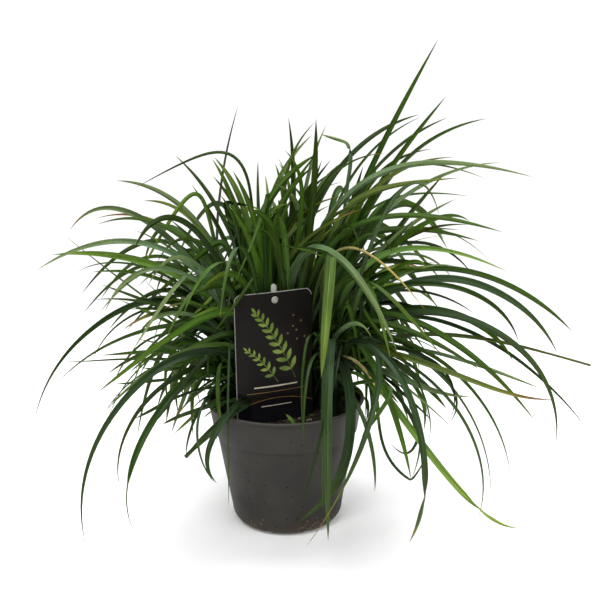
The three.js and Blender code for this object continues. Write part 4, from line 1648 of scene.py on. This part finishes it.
@dataclass
class Blade:
    """One leaf: its line, the way its upper face looks along it, its width and its look."""

    # The blade's section: the share of its half width, of its groove's depth and of its skin's
    # thickness at each point, and how far that point belongs to the underside.
    SECTION: ClassVar[tuple[tuple[float, ...], ...]] = (
        (1.0, 0.0, 0.0, 0.5),
        (0.5, 0.46, 0.0, 0.0),
        (0.0, 1.0, 0.0, 0.0),
        (-0.5, 0.46, 0.0, 0.0),
        (-1.0, 0.0, 0.0, 0.5),
        (-0.5, 0.46, 1.0, 1.0),
        (0.0, 1.0, 1.0, 1.0),
        (0.5, 0.46, 1.0, 1.0),
    )
    # A narrow solid leaf is drawn wider by up to this share, and one of full width isn't.
    FULLNESS: ClassVar[float] = 0.42
    FULL_WIDTH: ClassVar[float] = 11.0
    # How often a leaf rolls from side to side and sways along its length, and how much of its length
    # a twist takes before and after its middle.
    ROLLS: ClassVar[float] = 1.3
    WAVES: ClassVar[float] = 2.3
    TWIST: ClassVar[Pair] = (0.09, 0.07)
    # The tint of a cool leaf, and the weights that give a tone's lightness.
    COOL_TINT: ClassVar[Triple] = (0.62, 1.12, 0.62)
    LIGHTNESS: ClassVar[Triple] = (0.2126, 0.7152, 0.0722)

    line: LeafLine
    knots: np.ndarray
    faces_up: np.ndarray
    width: float
    look: LeafLook
    seed: float
    brightness: float = 1.0
    coolness: float = 0.3
    root_share: float = 0.62
    swollen_at: float = 0.28
    narrows_from: float = 0.5
    narrowing: float = 2.4
    threads_from: float = 1.0
    thread: float = 0.0
    twists_at: float = 0.0
    skin: float = 0.38
    fold_share: float = 0.3
    waviness: float = 0.0
    roll: float = 0.0
    steps: int = 40
    ends_at: float = 1.0

    def width_share(self, along: np.ndarray) -> np.ndarray:
        """Gives the leaf's width as a share of its greatest width.

        Args:
            along: Places along the leaf, from 0 to 1.

        Returns:
            The share at each place.
        """
        swelling = self.root_share + (1 - self.root_share) * smoothstep(along, 0, self.swollen_at)
        past = np.clip((along - self.narrows_from) / (self.threads_from - self.narrows_from), 0, 1)
        tip = np.maximum(1 - past**self.narrowing, self.thread * (1 - along**20))
        return swelling * (np.maximum(tip, 0.5) if self.look.blunt else tip)

    def fill_out(self, front: np.ndarray, share: float, narrowing: float) -> None:
        """Gives a solid's leaf its full, thin form: wider, and with its face turned to the front.

        Args:
            front: The direction that the plant's face looks.
            share: How much of the turn to the front is taken.
            narrowing: The power by which the tip narrows.
        """
        self.width += self.FULLNESS * self.width * max(0.0, 1 - self.width / self.FULL_WIDTH)
        self.narrowing = narrowing
        ahead = self.line.ahead(self.knots)
        facing = unit(front - (ahead @ front)[:, None] * ahead)
        facing *= np.where((facing * self.faces_up).sum(1) < 0, -1.0, 1.0)[:, None]
        self.faces_up = unit((1 - share) * self.faces_up + share * facing)

    def add_to(self, draft: Draft) -> None:
        """Adds the blade as a thin closed form, folded down its middle.

        Args:
            draft: The tuft's draft.
        """
        along = np.linspace(0, 1, self.steps + 1)
        reached = along * self.ends_at
        middle, ahead = self.line.at(reached), self.line.ahead(reached)
        sides = [np.interp(reached, self.knots, self.faces_up[:, axis]) for axis in range(3)]
        up = np.stack(sides, 1)
        up = unit(up - (up * ahead).sum(1, keepdims=True) * ahead)
        left = np.cross(up, ahead)
        phase = 2 * math.pi * (self.ROLLS * along + self.seed)
        angle = self.roll * np.sin(phase) * smoothstep(along, 0.1, 0.5)
        if self.twists_at:
            before, after = self.TWIST
            twist = smoothstep(along, self.twists_at - before, self.twists_at + after)
            angle += math.pi * twist
        cosine, sine = np.cos(angle)[:, None], np.sin(angle)[:, None]
        left, up = left * cosine + up * sine, up * cosine - left * sine
        waves = np.sin(self.WAVES * phase) * smoothstep(along, 0.15, 0.5)
        sway = self.waviness * waves * (1 - along)
        middle = middle + left * sway[:, None]
        half = self.width * self.width_share(along) / 2
        keel = 2 * half * self.fold_share
        skin = np.minimum(self.skin, 0.6 * keel + 0.05)
        groove = keel - skin
        columns = [
            middle + left * (side * half)[:, None] - up * (groove * depth + skin * below)[:, None]
            for side, depth, below, _ in self.SECTION
        ]
        around = len(self.SECTION)
        count = self.steps + 1 if self.look.blunt else self.steps
        rings = np.stack(columns, 1)[:count].reshape(-1, 3)
        faces = [tuple(reversed(face)) for face in tube_faces(count, around)]
        faces.append(tuple(range(around)))
        last = range((count - 1) * around, count * around)
        if self.look.blunt:
            faces.append(tuple(reversed(last)))
        else:
            rings = np.concatenate([rings, middle[-1:]])
            faces += [(last[(side + 1) % around], last[side], last.stop) for side in range(around)]
        place = np.repeat(along, around)[: len(rings)]
        across, _, _, under = (
            np.tile(column, self.steps + 1)[: len(rings)] for column in zip(*self.SECTION)
        )
        start = self.look.dries_from
        dry = np.clip((place - start) / max(1 - start, 1e-6), 0, 1) if start < 1 else 0 * place
        tone = np.tile(linear(self.look.tone.value), (len(rings), 1))
        if self.look.turned:
            over = smoothstep(place, 0.3, 0.65)[:, None]
            tone = (1 - over) * tone + over * np.array(linear(self.look.turned.value))
        tone[:, :3] *= self.brightness
        light = tone[:, :3] @ self.LIGHTNESS
        cool = self.coolness * ((7.31 * self.seed) % 1)
        tone[:, :3] += cool * (light[:, None] * self.COOL_TINT - tone[:, :3])
        seeds = np.full(len(rings), self.seed)
        draft.add(
            rings, faces, tone=tone, along=place, across=across, under=under, dry=dry, seed=seeds
        )


@dataclass(frozen=True)
class KnotPlan:
    """Where a solid leaf's rings lie along its line, root first, and how its line is made."""

    shares: tuple[float, ...]
    folds_at: float = 1.0


EVEN_PLANS = tuple(
    KnotPlan(tuple(ring / count for ring in range(1, count + 1))) for count in (5, 6, 7)
)
FOLD_PLAN = KnotPlan((0.15, 0.3, 0.45, 0.56, 0.6, 0.65, 0.8, 0.92, 1.0), folds_at=0.6)


class SolidTuft:
    """Reads a tuft's solid: its stem and the line, turn and width of each of its leaves."""

    STEM_TOP = 135.0
    STEM_RADIUS = 5.6
    ROOT_HEIGHT = 128.0
    SOIL_LEVEL = (109.0, 111.0)
    CLOSE_FIT = 0.3

    def __init__(self, node: Object) -> None:
        """Joins the solid's shared points and finds its stem.

        Args:
            node: The frame's object for this tuft.
        """
        mesh = node.data
        raw = np.array([vertex.co for vertex in mesh.vertices]) / MM
        self.points, shared = np.unique(raw.round(3), axis=0, return_inverse=True)
        self.near: list[set[int]] = [set() for _ in self.points]
        for face in mesh.polygons:
            corners = [int(shared.ravel()[corner]) for corner in face.vertices]
            for corner in corners:
                self.near[corner].update(other for other in corners if other != corner)
        foot = self.points[np.abs(self.points[:, 2] - self.points[:, 2].min()) < 0.01]
        low, high = self.SOIL_LEVEL
        level = self.points[(self.points[:, 2] > low) & (self.points[:, 2] < high)]
        self.centre = (level if len(level) else foot)[:, :2].mean(0)

    def in_stem(self, corners: Iterable[int]) -> bool:
        """Says whether any of the points lies on the stem.

        Args:
            corners: The points' numbers.

        Returns:
            True where one does.
        """
        for corner in corners:
            x, y, z = self.points[corner]
            away = math.hypot(x - self.centre[0], y - self.centre[1])
            if z < self.STEM_TOP + 0.05 and away < self.STEM_RADIUS:
                return True
        return False

    def rings_from(self, tip: int) -> list[list[int]]:
        """Walks down a leaf from its tip.

        Args:
            tip: The tip's point.

        Returns:
            The leaf's rings of three points each, from the tip to the stem.
        """
        ring = sorted(self.near[tip])
        seen = {tip, *ring}
        rings = []
        while len(ring) == 3 and not self.in_stem(ring):
            rings.append(ring)
            ring = sorted(set().union(*(self.near[corner] for corner in ring)) - seen)
            seen.update(ring)
        return rings

    def fitted(self, points: np.ndarray, plan: KnotPlan) -> tuple[float, LeafLine] | None:
        """Fits a leaf's line to its ring middles under one plan of rings.

        Args:
            points: The middles, from the lowest ring to the tip.
            plan: Where those rings would lie.

        Returns:
            The miss, with the root's distance from its known height, and the line. None where
            the plan has other numbers of rings.
        """
        lost = len(plan.shares) - len(points)
        if lost not in (0, 1, 2):
            return None
        shares = np.array(plan.shares[lost:])
        if plan.folds_at == 1.0:
            weights = bernstein(shares, 3)
            controls = np.linalg.lstsq(weights, points, rcond=None)[0]
            miss = float(np.abs(weights @ controls - points).max())
            return miss + abs(controls[0][2] - self.ROOT_HEIGHT), LeafLine((controls,))
        before, after = shares <= plan.folds_at, shares >= plan.folds_at
        climb = bernstein(shares[before] / plan.folds_at, 2)
        over = bernstein((shares[after] - plan.folds_at) / (1 - plan.folds_at), 2)
        first = np.linalg.lstsq(climb, points[before], rcond=None)[0]
        second = np.linalg.lstsq(over, points[after], rcond=None)[0]
        misses = [np.abs(climb @ first - points[before]), np.abs(over @ second - points[after])]
        miss = float(max(gap.max() for gap in misses))
        line = LeafLine((first, second), plan.folds_at)
        return miss + abs(first[0][2] - self.ROOT_HEIGHT), line

    def blade(self, tip: int, look: LeafLook, seed: float) -> Blade | None:
        """Draws one leaf again from its rings.

        Args:
            tip: The tip's point.
            look: How the leaf looks.
            seed: The leaf's own number, from 0 to 1.

        Returns:
            The blade, or None where the point isn't a leaf's tip.
        """
        rings = self.rings_from(tip)
        if len(rings) < 3:
            return None
        middles, ups, halves = [self.points[tip]], [], []
        for ring in rings:
            corners = self.points[ring]
            sides = [np.linalg.norm(corners[a] - corners[b]) for a, b in ((1, 2), (2, 0), (0, 1))]
            keel = int(np.argmax(sides))
            left, right = [corners[corner] for corner in range(3) if corner != keel]
            middle = (left + right) / 2
            middles.append(middle)
            ups.append(unit(middle - corners[keel]))
            halves.append(np.linalg.norm(left - right) / 2)
        points = np.array(middles[::-1])
        fits = [(self.fitted(points, plan), plan) for plan in (*EVEN_PLANS, FOLD_PLAN)]
        found = [(fit[0], fit[1], plan) for fit, plan in fits if fit is not None]
        if not found:
            LOG.warning("a leaf with %d rings has no plan", len(rings))
            return None
        miss, line, plan = min(found, key=lambda entry: entry[0])
        if miss > self.CLOSE_FIT:
            LOG.warning("leaf tip %s fits to %.2f mm", self.points[tip].round(), miss)
        shares = np.array(plan.shares[len(plan.shares) - len(points) : -1])
        blade = Blade(line, shares, np.array(ups[::-1]), 1.0, look, seed)
        outer = shares > blade.swollen_at
        widths = 2 * np.array(halves[::-1])
        blade.width = float(np.median(widths[outer] / blade.width_share(shares[outer])))
        return blade


@dataclass(frozen=True)
class Variety:
    """How far one kind of leaf varies: the range that each value is drawn from."""

    narrowing: Pair
    roll: Pair
    waviness: Pair
    # The least brightness, and how far it rises with the leaf's own number.
    brightness: Pair


@dataclass
class Foliage:
    """All the tufts: the leaves of the frame's solids and finer ones that stand among them."""

    label: Label
    pot: Pot
    eye: np.ndarray
    lowest: np.ndarray
    highest: np.ndarray
    seed: int = 11
    extra: int = 360
    tries: int = 12
    tones: tuple[tuple[Tone, float], ...] = (
        (Tone.DARK, 0.42),
        (Tone.MIDDLE, 0.32),
        (Tone.GLAUCOUS, 0.09),
        (Tone.BRIGHT, 0.11),
        (Tone.LIGHT, 0.03),
        (Tone.OLIVE, 0.03),
    )
    tip_dryness: float = 0.1
    # Leaves whose tips hang below these heights: drawn only from the darker tones, darkened with
    # painted shade, and tapered.
    dark_tones_below: float = 170.0
    hanging_below: float = 180.0
    hanging_shade: float = 0.78
    # Leaves that reach out at the sides taper sooner.
    outlying_beyond: float = 150.0
    outlying_below: float = 400.0
    outlying_taper: float = 1.2
    # Leaves that hang in front of this depth and below this height face the front.
    front_facing: Pair = (-100.0, 130.0)
    solid_kind: Variety = Variety((3.4, 5.6), (4.0, 14.0), (0.2, 0.9), (0.48, 1.46))
    fine_kind: Variety = Variety((2.6, 4.4), (5.0, 20.0), (0.2, 1.2), (0.38, 1.5))
    # How far a frame's leaf turns its face to the front, and how fast one that hangs outside narrows.
    turns: Pair = (0.3, 0.7)
    hanging_narrowing: Pair = (1.4, 1.9)
    # Finer leaves follow the habit of a leaf whose tip stands below this height. Their heading and
    # face stray from it, they are shorter and lean, and their outer half strays sideways.
    habit_height: float = 420.0
    heading_spread: float = 12.0
    face_spread: float = 0.12
    sizes: Pair = (0.45, 0.92)
    leans: Pair = (0.88, 1.04)
    strays: Pair = (9.0, 15.0)
    width_shares: Pair = (0.75, 1.1)
    fine_steps: int = 28
    # How few of the finer leaves hang low or crowd the right side, and how many are threads.
    low_tip: float = 125.0
    low_share: float = 0.08
    right_side: Pair = (110.0, 260.0)
    right_share: float = 0.45
    thread_share: float = 0.05
    thread_width: float = 1.6
    least_width: float = 3.4
    root_spread: float = 3.4
    dark_crown: float = 90.0
    soil_top: float = 124.0
    # The sheath's foot, its radius there, below its top and at its closed top, the number and
    # height of its ridges, and how far they twist in a millimetre.
    sheath_foot: float = 110.0
    sheath_radii: Triple = (5.3, 4.3, 2.2)
    sheath_ridges: Pair = (7, 0.07)
    sheath_twist: float = 0.02
    front: np.ndarray = field(default_factory=lambda: np.array([0.0, -0.972, 0.236]))
    tufts: dict[str, SolidTuft] = field(default_factory=dict)
    blades: dict[str, list[Blade]] = field(default_factory=dict)

    def __post_init__(self) -> None:
        """Starts the foliage's own run of random numbers."""
        self.random = np.random.default_rng(self.seed)
        self.known = {tip: tone for tone, tips in LOOKS.items() for tip in tips}

    def drawn_look(self, tip_height: float) -> LeafLook:
        """Draws the look of a leaf that has none of its own.

        Args:
            tip_height: The height of its tip: hanging leaves take only the darker tones.

        Returns:
            The drawn look.
        """
        old = tip_height < self.dark_tones_below
        pale = (Tone.BRIGHT, Tone.LIGHT)
        names, shares = zip(*((n, s) for n, s in self.tones if not (old and n in pale)))
        tone = names[int(self.random.choice(len(names), p=np.array(shares) / sum(shares)))]
        dry = self.random.uniform() < self.tip_dryness
        start = 1 - 0.22 * self.random.uniform() ** 2.5 - 0.03
        return LeafLook(tone, start if dry else 1.0)

    def key_of(self, tip: np.ndarray) -> tuple[int, ...]:
        """Gives a tip's place in whole millimetres, by which the tables name a leaf."""
        return tuple(int(round(value)) for value in tip)

    def look_of(self, tip: np.ndarray, dry_tuft: bool) -> LeafLook:
        """Gives the look of a leaf of the frame.

        Args:
            tip: The leaf's tip.
            dry_tuft: True for a leaf of the dried tuft.

        Returns:
            The leaf's own look, or a drawn one.
        """
        drawn = self.drawn_look(float(tip[2]))
        if dry_tuft:
            return LeafLook(Tone.OLIVE, turned=Tone.STRAW)
        key = self.key_of(tip)
        if key not in self.known:
            return drawn
        return LeafLook(self.known[key], DRY_TIPS.get(key, 1.0), key in BLUNT_TIPS)

    def read(self, nodes: dict[str, Object]) -> None:
        """Reads every tuft's solid.

        Args:
            nodes: The frame's objects by name.
        """
        for name in sorted(node for node in nodes if "tuft" in node):
            tuft = self.tufts[name] = SolidTuft(nodes[name])
            self.blades[name] = []
            for tip, near in enumerate(tuft.near):
                if len(near) != 3 or tuft.in_stem([tip]):
                    continue
                place = tuft.points[tip]
                seed = float(self.random.uniform())
                blade = tuft.blade(tip, self.look_of(place, "dry" in name), seed)
                if blade is not None:
                    self.shape(blade, place)
                    self.blades[name].append(blade)
        total = sum(len(blades) for blades in self.blades.values())
        LOG.info("read %d leaves in %d tufts", total, len(self.tufts))

    def shape(self, blade: Blade, tip: np.ndarray) -> None:
        """Gives a leaf of the frame its fullness, taper, sway and brightness, and what is its own.

        Args:
            blade: The leaf.
            tip: Its tip.
        """
        x, y, z = tip
        hangs = z < self.hanging_below
        outlying = abs(x) > self.outlying_beyond and z < self.outlying_below
        turn = self.random.uniform(*self.turns)
        in_front, below = self.front_facing
        if y < in_front and z < below:
            turn = 0.95
        narrowing = self.random.uniform(*self.solid_kind.narrowing)
        if outlying:
            narrowing -= self.outlying_taper
        blade.fill_out(self.front, turn, narrowing)
        if outlying and hangs:
            blade.narrows_from = 0.4
            blade.narrowing = self.random.uniform(*self.hanging_narrowing) + (0.0 if x < 0 else 0.6)
        self.vary(blade, self.solid_kind)
        if hangs:
            blade.brightness *= self.hanging_shade
        key = self.key_of(tip)
        blade.ends_at = BROKEN_AT.get(key, 1.0)
        blade.line = replace(blade.line, bend=0.0 if key in CREASED else SOFT_BEND)
        blade.width *= SLIM.get(key, 1.0)
        if key in THREADED:
            blade.threads_from, blade.thread = THREADED[key], THREAD_WIDTH
        if key in TWISTED:
            blade.twists_at, blade.narrowing = TWISTED[key]
            blade.narrows_from, blade.steps = 0.5, 90

    def vary(self, blade: Blade, kind: Variety) -> None:
        """Draws how far a leaf rolls and sways, and gives it its own brightness.

        Args:
            blade: The leaf.
            kind: The kind of leaf that it is.
        """
        blade.roll = math.radians(self.random.uniform(*kind.roll))
        blade.waviness = self.random.uniform(*kind.waviness)
        least, rise = kind.brightness
        blade.brightness = least + rise * blade.seed

    def is_clear(self, points: np.ndarray) -> bool:
        """Says whether a new leaf's line stays clear of the pot, the soil and the label.

        Args:
            points: Points along the leaf.

        Returns:
            True where the leaf may stand.
        """
        pot, height = self.pot, points[:, 2]
        radius = np.hypot(points[:, 0], points[:, 1])
        within = radius < pot.rim_radius + 4
        blocked = (height < pot.height + 2) & (radius > pot.body_top - 1) & within
        blocked |= (height < self.soil_top) & within
        blocked |= (points < self.lowest + 2).any(1) | (points > self.highest - 2).any(1)
        blocked |= self.label.touches(points) | self.label.hides(points, self.eye)
        blocked |= pot.hides(points, self.eye)
        past_root = slice(6, None)
        return not blocked[past_root].any()

    def grow_extra(self) -> None:
        """Adds finer leaves, each after the habit of one of the frame's leaves."""
        names = [name for name in self.tufts if "dry" not in name]
        centres = np.array([self.tufts[name].centre for name in names])
        habits = [
            (name, blade)
            for name in names
            for blade in self.blades[name]
            if len(blade.line.spans) == 1 and blade.line.spans[0][-1][2] < self.habit_height
        ]
        grown = 0
        for _ in range(self.tries * self.extra):
            if grown == self.extra:
                break
            name, habit = habits[int(self.random.integers(len(habits)))]
            away = np.linalg.norm(centres - self.tufts[name].centre, axis=1)
            home = int(np.argsort(away)[int(self.random.integers(5))])
            angle = math.radians(self.random.normal(0, self.heading_spread))
            size = self.random.uniform(*self.sizes)
            lean = self.random.uniform(*self.leans)
            root_angle = self.random.uniform(0, 2 * math.pi)
            root_away = self.root_spread * math.sqrt(self.random.uniform())
            seed, draw = float(self.random.uniform()), self.random.uniform()
            cosine, sine = math.cos(angle), math.sin(angle)
            turn = np.array([[cosine, sine, 0], [-sine, cosine, 0], [0, 0, lean]])
            source = habit.line.spans[0]
            x = centres[home][0] + root_away * math.cos(root_angle)
            y = centres[home][1] + root_away * math.sin(root_angle)
            root = np.array([x, y, source[0][2]])
            controls = root + (source - source[0]) @ turn * size
            heading = unit(controls[3, :2] - controls[0, :2])
            aside = np.array([-heading[1], heading[0], 0])
            for outer, stray in zip((2, 3), self.strays):
                controls[outer] += aside * self.random.normal(0, stray)
            line = LeafLine((controls,))
            tip_x, _, tip_z = controls[3]
            if tip_z < self.low_tip and draw > self.low_share:
                continue
            beyond_x, below_z = self.right_side
            if tip_x > beyond_x and tip_z < below_z and draw > self.right_share:
                continue
            look = self.drawn_look(float(tip_z))
            if look.tone is Tone.LIGHT and abs(tip_x) < self.dark_crown:
                look = replace(look, tone=Tone.MIDDLE)
            if not self.is_clear(line.at(np.linspace(0, 1, 30))):
                continue
            width = self.thread_width
            if draw > self.thread_share:
                share = self.random.uniform(*self.width_shares)
                width = max(self.least_width, habit.width * share)
            ups = unit(habit.faces_up @ turn + self.random.normal(0, self.face_spread, 3))
            blade = Blade(line, habit.knots, ups, width, look, seed, steps=self.fine_steps)
            blade.narrowing = self.random.uniform(*self.fine_kind.narrowing)
            self.vary(blade, self.fine_kind)
            self.blades[names[home]].append(blade)
            grown += 1
        LOG.info("grew %d finer leaves", grown)

    def place_leaves(self) -> None:
        """Adds the leaves that have places of their own, each to its nearest tuft."""
        names = [name for name in self.tufts if "dry" not in name]
        for index, leaf in enumerate(PLACED_LEAVES):
            points = np.array(leaf.passes, float)
            root = points[0]
            away = {name: np.linalg.norm(self.tufts[name].centre - root[:2]) for name in names}
            home = min(names, key=away.__getitem__)
            if root[2] > self.soil_top:
                centre = self.tufts[home].centre
                share = min(1.0, self.root_spread / max(away[home], 1e-6))
                root[:2] = centre + (root[:2] - centre) * share
            line = LeafLine((bezier_through(points),))
            if leaf.turns_back:
                beyond = np.array(leaf.turns_back, float)
                reach = [
                    np.linalg.norm(np.diff(part, axis=0), axis=1).sum() for part in (points, beyond)
                ]
                share = reach[0] / sum(reach)
                line = LeafLine((*line.spans, bezier_through(beyond)), share, SHARP_BEND)
            knots = np.linspace(0.1, 0.9, 5)
            ahead = line.ahead(knots)
            ups = unit(self.front - (ahead @ self.front)[:, None] * ahead)
            look = LeafLook(leaf.tone, leaf.dries_from, leaf.blunt)
            blade = Blade(line, knots, ups, leaf.width, look, (index * 0.618) % 1)
            blade.narrowing = leaf.NARROWING
            blade.roll = math.radians(leaf.ROLL)
            blade.waviness = leaf.WAVINESS
            if leaf.turns_back:
                blade.steps = leaf.CURLED_STEPS
            self.blades[home].append(blade)
        LOG.info("placed %d leaves", len(PLACED_LEAVES))

    def sheath(self, draft: Draft, tuft: SolidTuft, tone: Tone) -> None:
        """Adds a tuft's foot: leaf bases wrapped round one another.

        Args:
            draft: The tuft's draft.
            tuft: The tuft.
            tone: The sheath's tone.
        """
        around, levels = 28, 9
        heights = np.linspace(self.sheath_foot, SolidTuft.STEM_TOP + 1, levels)
        foot, below_top, top = self.sheath_radii
        radii = np.linspace(foot, below_top, levels)
        radii[-1] = top
        number, rise = self.sheath_ridges
        angles = np.arange(around) / around * 2 * math.pi
        rows = []
        for height, radius in zip(heights, radii):
            twist = self.sheath_twist * (height - self.sheath_foot)
            ridges = radius * (1 + rise * np.cos(number * (angles + twist)))
            x = tuft.centre[0] + ridges * np.cos(angles)
            y = tuft.centre[1] + ridges * np.sin(angles)
            rows.append(np.stack([x, y, np.full(around, height)], 1))
        points = np.concatenate(rows)
        count = len(points)
        place = np.repeat(np.linspace(0, 0.2, levels), around)
        draft.add(
            points,
            tube_faces(levels, around, closed=True),
            tone=np.tile(linear(tone.value), (count, 1)),
            along=place,
            across=np.tile(0.3 + 0.6 * np.abs(np.cos(number / 2 * angles)), levels),
            under=np.zeros(count),
            dry=np.zeros(count),
            seed=np.full(count, 0.5),
        )

    def build(self, finish: Material) -> list[Object]:
        """Makes each tuft with all its leaves.

        Args:
            finish: The leaves' material.

        Returns:
            The tufts.
        """
        made = []
        for name, tuft in self.tufts.items():
            draft = Draft()
            dried = "dry" in name
            self.sheath(draft, tuft, Tone.STRAW if dried else Tone.SHEATH)
            for blade in self.blades[name]:
                blade.add_to(draft)
            slot = "straw" if dried else "leaf"
            made.append(draft.build(f"{name}_leaves", [finish], slot, [name], crease=28))
        return made


# ---- Studio ----


@dataclass
class Studio:
    """The pale floor, the soft lights and the camera."""

    eye: Triple = (0.0, -935.165, 470.492)
    yaw: float = 1.05
    pitch: float = -13.625
    roll: float = 0.779
    lens: float = 54.68
    sensor: float = 36.0
    floor_radius: float = 1600.0
    floor_sides: int = 96
    # Each softbox's name, its place and side in metres, and its power in watts.
    softboxes: tuple[tuple[str, Triple, float, float], ...] = (
        ("key_softbox", (-0.7, -1.5, 2.2), 1.0, 39.0),
        ("fill_softbox", (0.9, -1.6, 2.0), 1.4, 22.0),
        ("top_softbox", (0.0, 0.7, 2.2), 1.2, 50.0),
    )
    aim: Triple = (0.0, 0.0, 0.2)
    # Where the white walls stand, the range over which the air brightens towards them, and its
    # strength where the softboxes hang, behind the plant, and as the camera sees it.
    walls_at: Triple = (0.0, 0.9, -0.6)
    walls_range: Pair = (-0.2, 0.5)
    air_front: float = 0.07
    air_behind: float = 0.9
    air_shown: float = 1.05

    def floor(self, finish: Material) -> Object:
        """Makes the floor: a round sheet of paper that fades out far from the plant.

        Args:
            finish: The paper's material.

        Returns:
            The floor.
        """
        turns = np.arange(self.floor_sides) / self.floor_sides * 2 * math.pi
        shares = (0.25, 0.5, 0.75, 1.0)
        rows = [
            self.floor_radius * share * np.stack([np.cos(turns), np.sin(turns), 0 * turns], 1)
            for share in shares
        ]
        points = np.concatenate([*rows, np.zeros((1, 3))]) * MM
        faces = tube_faces(len(shares), self.floor_sides)
        middle = len(points) - 1
        faces += [(middle, step, (step + 1) % self.floor_sides) for step in range(self.floor_sides)]
        mesh = bpy.data.meshes.new("studio_floor")
        mesh.from_pydata(points.tolist(), [], faces)
        mesh.materials.append(finish)
        floor = bpy.data.objects.new("studio_floor", mesh)
        bpy.context.scene.collection.objects.link(floor)
        floor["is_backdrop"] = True
        return floor

    def light(self, name: str, place: Triple, size: float, power: float) -> Object:
        """Hangs a square soft light that looks at the plant.

        Args:
            name: The light's name.
            place: Its place, in metres.
            size: Its side, in metres.
            power: Its power, in watts.

        Returns:
            The light.
        """
        lamp = bpy.data.lights.new(name, "AREA")
        lamp.shape = "SQUARE"
        lamp.size = size
        lamp.energy = power
        holder = bpy.data.objects.new(name, lamp)
        holder.location = place
        towards = Vector(self.aim) - Vector(place)
        holder.rotation_euler = towards.to_track_quat("-Z", "Y").to_euler()
        holder.visible_camera = False
        bpy.context.scene.collection.objects.link(holder)
        return holder

    def lights(self) -> None:
        """Hangs the soft lights and sets the white surroundings.

        The air is dim where the softboxes hang and bright behind and below the plant, as between
        white walls, and it shows as plain white behind everything.
        """
        for softbox in self.softboxes:
            self.light(*softbox)
        world = bpy.data.worlds.new("studio_air")
        world.use_nodes = True
        tree = world.node_tree
        air = tree.nodes["Background"]
        air.inputs["Color"].default_value = linear("#ffffff")
        heading = add_node(tree, "TexCoord").outputs["Generated"]
        facing = add_node(tree, "VectorMath", [heading, self.walls_at], operation="DOT_PRODUCT")
        behind = facing.outputs["Value"]
        walls = (behind, *self.walls_range, self.air_front, self.air_behind)
        glow = add_node(tree, "MapRange", walls, **EASED)
        shown = add_node(tree, "LightPath").outputs["Is Camera Ray"]
        strength = {0: shown, 2: glow, 3: self.air_shown}
        mixed = add_node(tree, "Mix", strength, data_type="FLOAT")
        set_inputs(tree, air, {"Strength": mixed})
        bpy.context.scene.world = world

    def camera(self) -> Object:
        """Sets up the camera at the front, a little above the plant's middle.

        Returns:
            The camera.
        """
        yaw, pitch, roll = (math.radians(v) for v in (self.yaw, self.pitch, self.roll))
        ahead = Vector(
            (math.sin(yaw) * math.cos(pitch), math.cos(yaw) * math.cos(pitch), math.sin(pitch))
        )
        right = Vector((math.cos(yaw), -math.sin(yaw), 0))
        above = right.cross(ahead)
        side = right * math.cos(roll) - above * math.sin(roll)
        top = side.cross(ahead)
        lens = bpy.data.cameras.new("camera")
        lens.lens = self.lens
        lens.sensor_width = self.sensor
        lens.clip_end = 50
        holder = bpy.data.objects.new("camera", lens)
        turn = Matrix((side, top, -ahead)).transposed().to_4x4()
        holder.matrix_world = Matrix.Translation(Vector(self.eye) * MM) @ turn
        bpy.context.scene.collection.objects.link(holder)
        bpy.context.scene.camera = holder
        return holder


def main() -> None:
    """Builds the whole scene."""
    logging.basicConfig(level=logging.INFO, format="%(message)s", stream=sys.stdout)
    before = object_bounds()
    bpy.context.scene.view_settings.view_transform = "Standard"
    studio = Studio()
    studio.camera()
    studio.floor(StudioPaper("studio_paper_seamless").material())
    studio.lights()
    pot = Pot()
    pot.build(MouldedPolypropylene("polypropylene_moulded_grey").material())
    SoilBed(pot).build(PottingMix("potting_mix_watered").material())
    label = Label()
    inks = {
        "leaf_green": (),
        "cream": ("#d8d0ba", "#bfb69c"),
        "gold": ("#8a6f45", "#6f5735"),
        "charcoal": ("#141216", "#18161b"),
    }
    finishes = [
        PrintedCard("polystyrene_printed_black"),
        PrintedCard("polystyrene_cut_edge", "#b5b2ad", "#a19e99", 0.45),
        *(PrintInk(f"ink_{name}", *tones) for name, tones in inks.items()),
    ]
    label.card([finish.material() for finish in finishes])
    label.stake(ClearedPlastic("polypropylene_natural_moulded").material())
    foliage = Foliage(label, pot, np.array(studio.eye), *(np.array(c) / MM for c in before))
    foliage.read(frame["nodes"])
    foliage.grow_extra()
    foliage.place_leaves()
    foliage.build(SedgeLeaf("sedge_leaf_waxed").material())


if __name__ == "__main__":
    main()
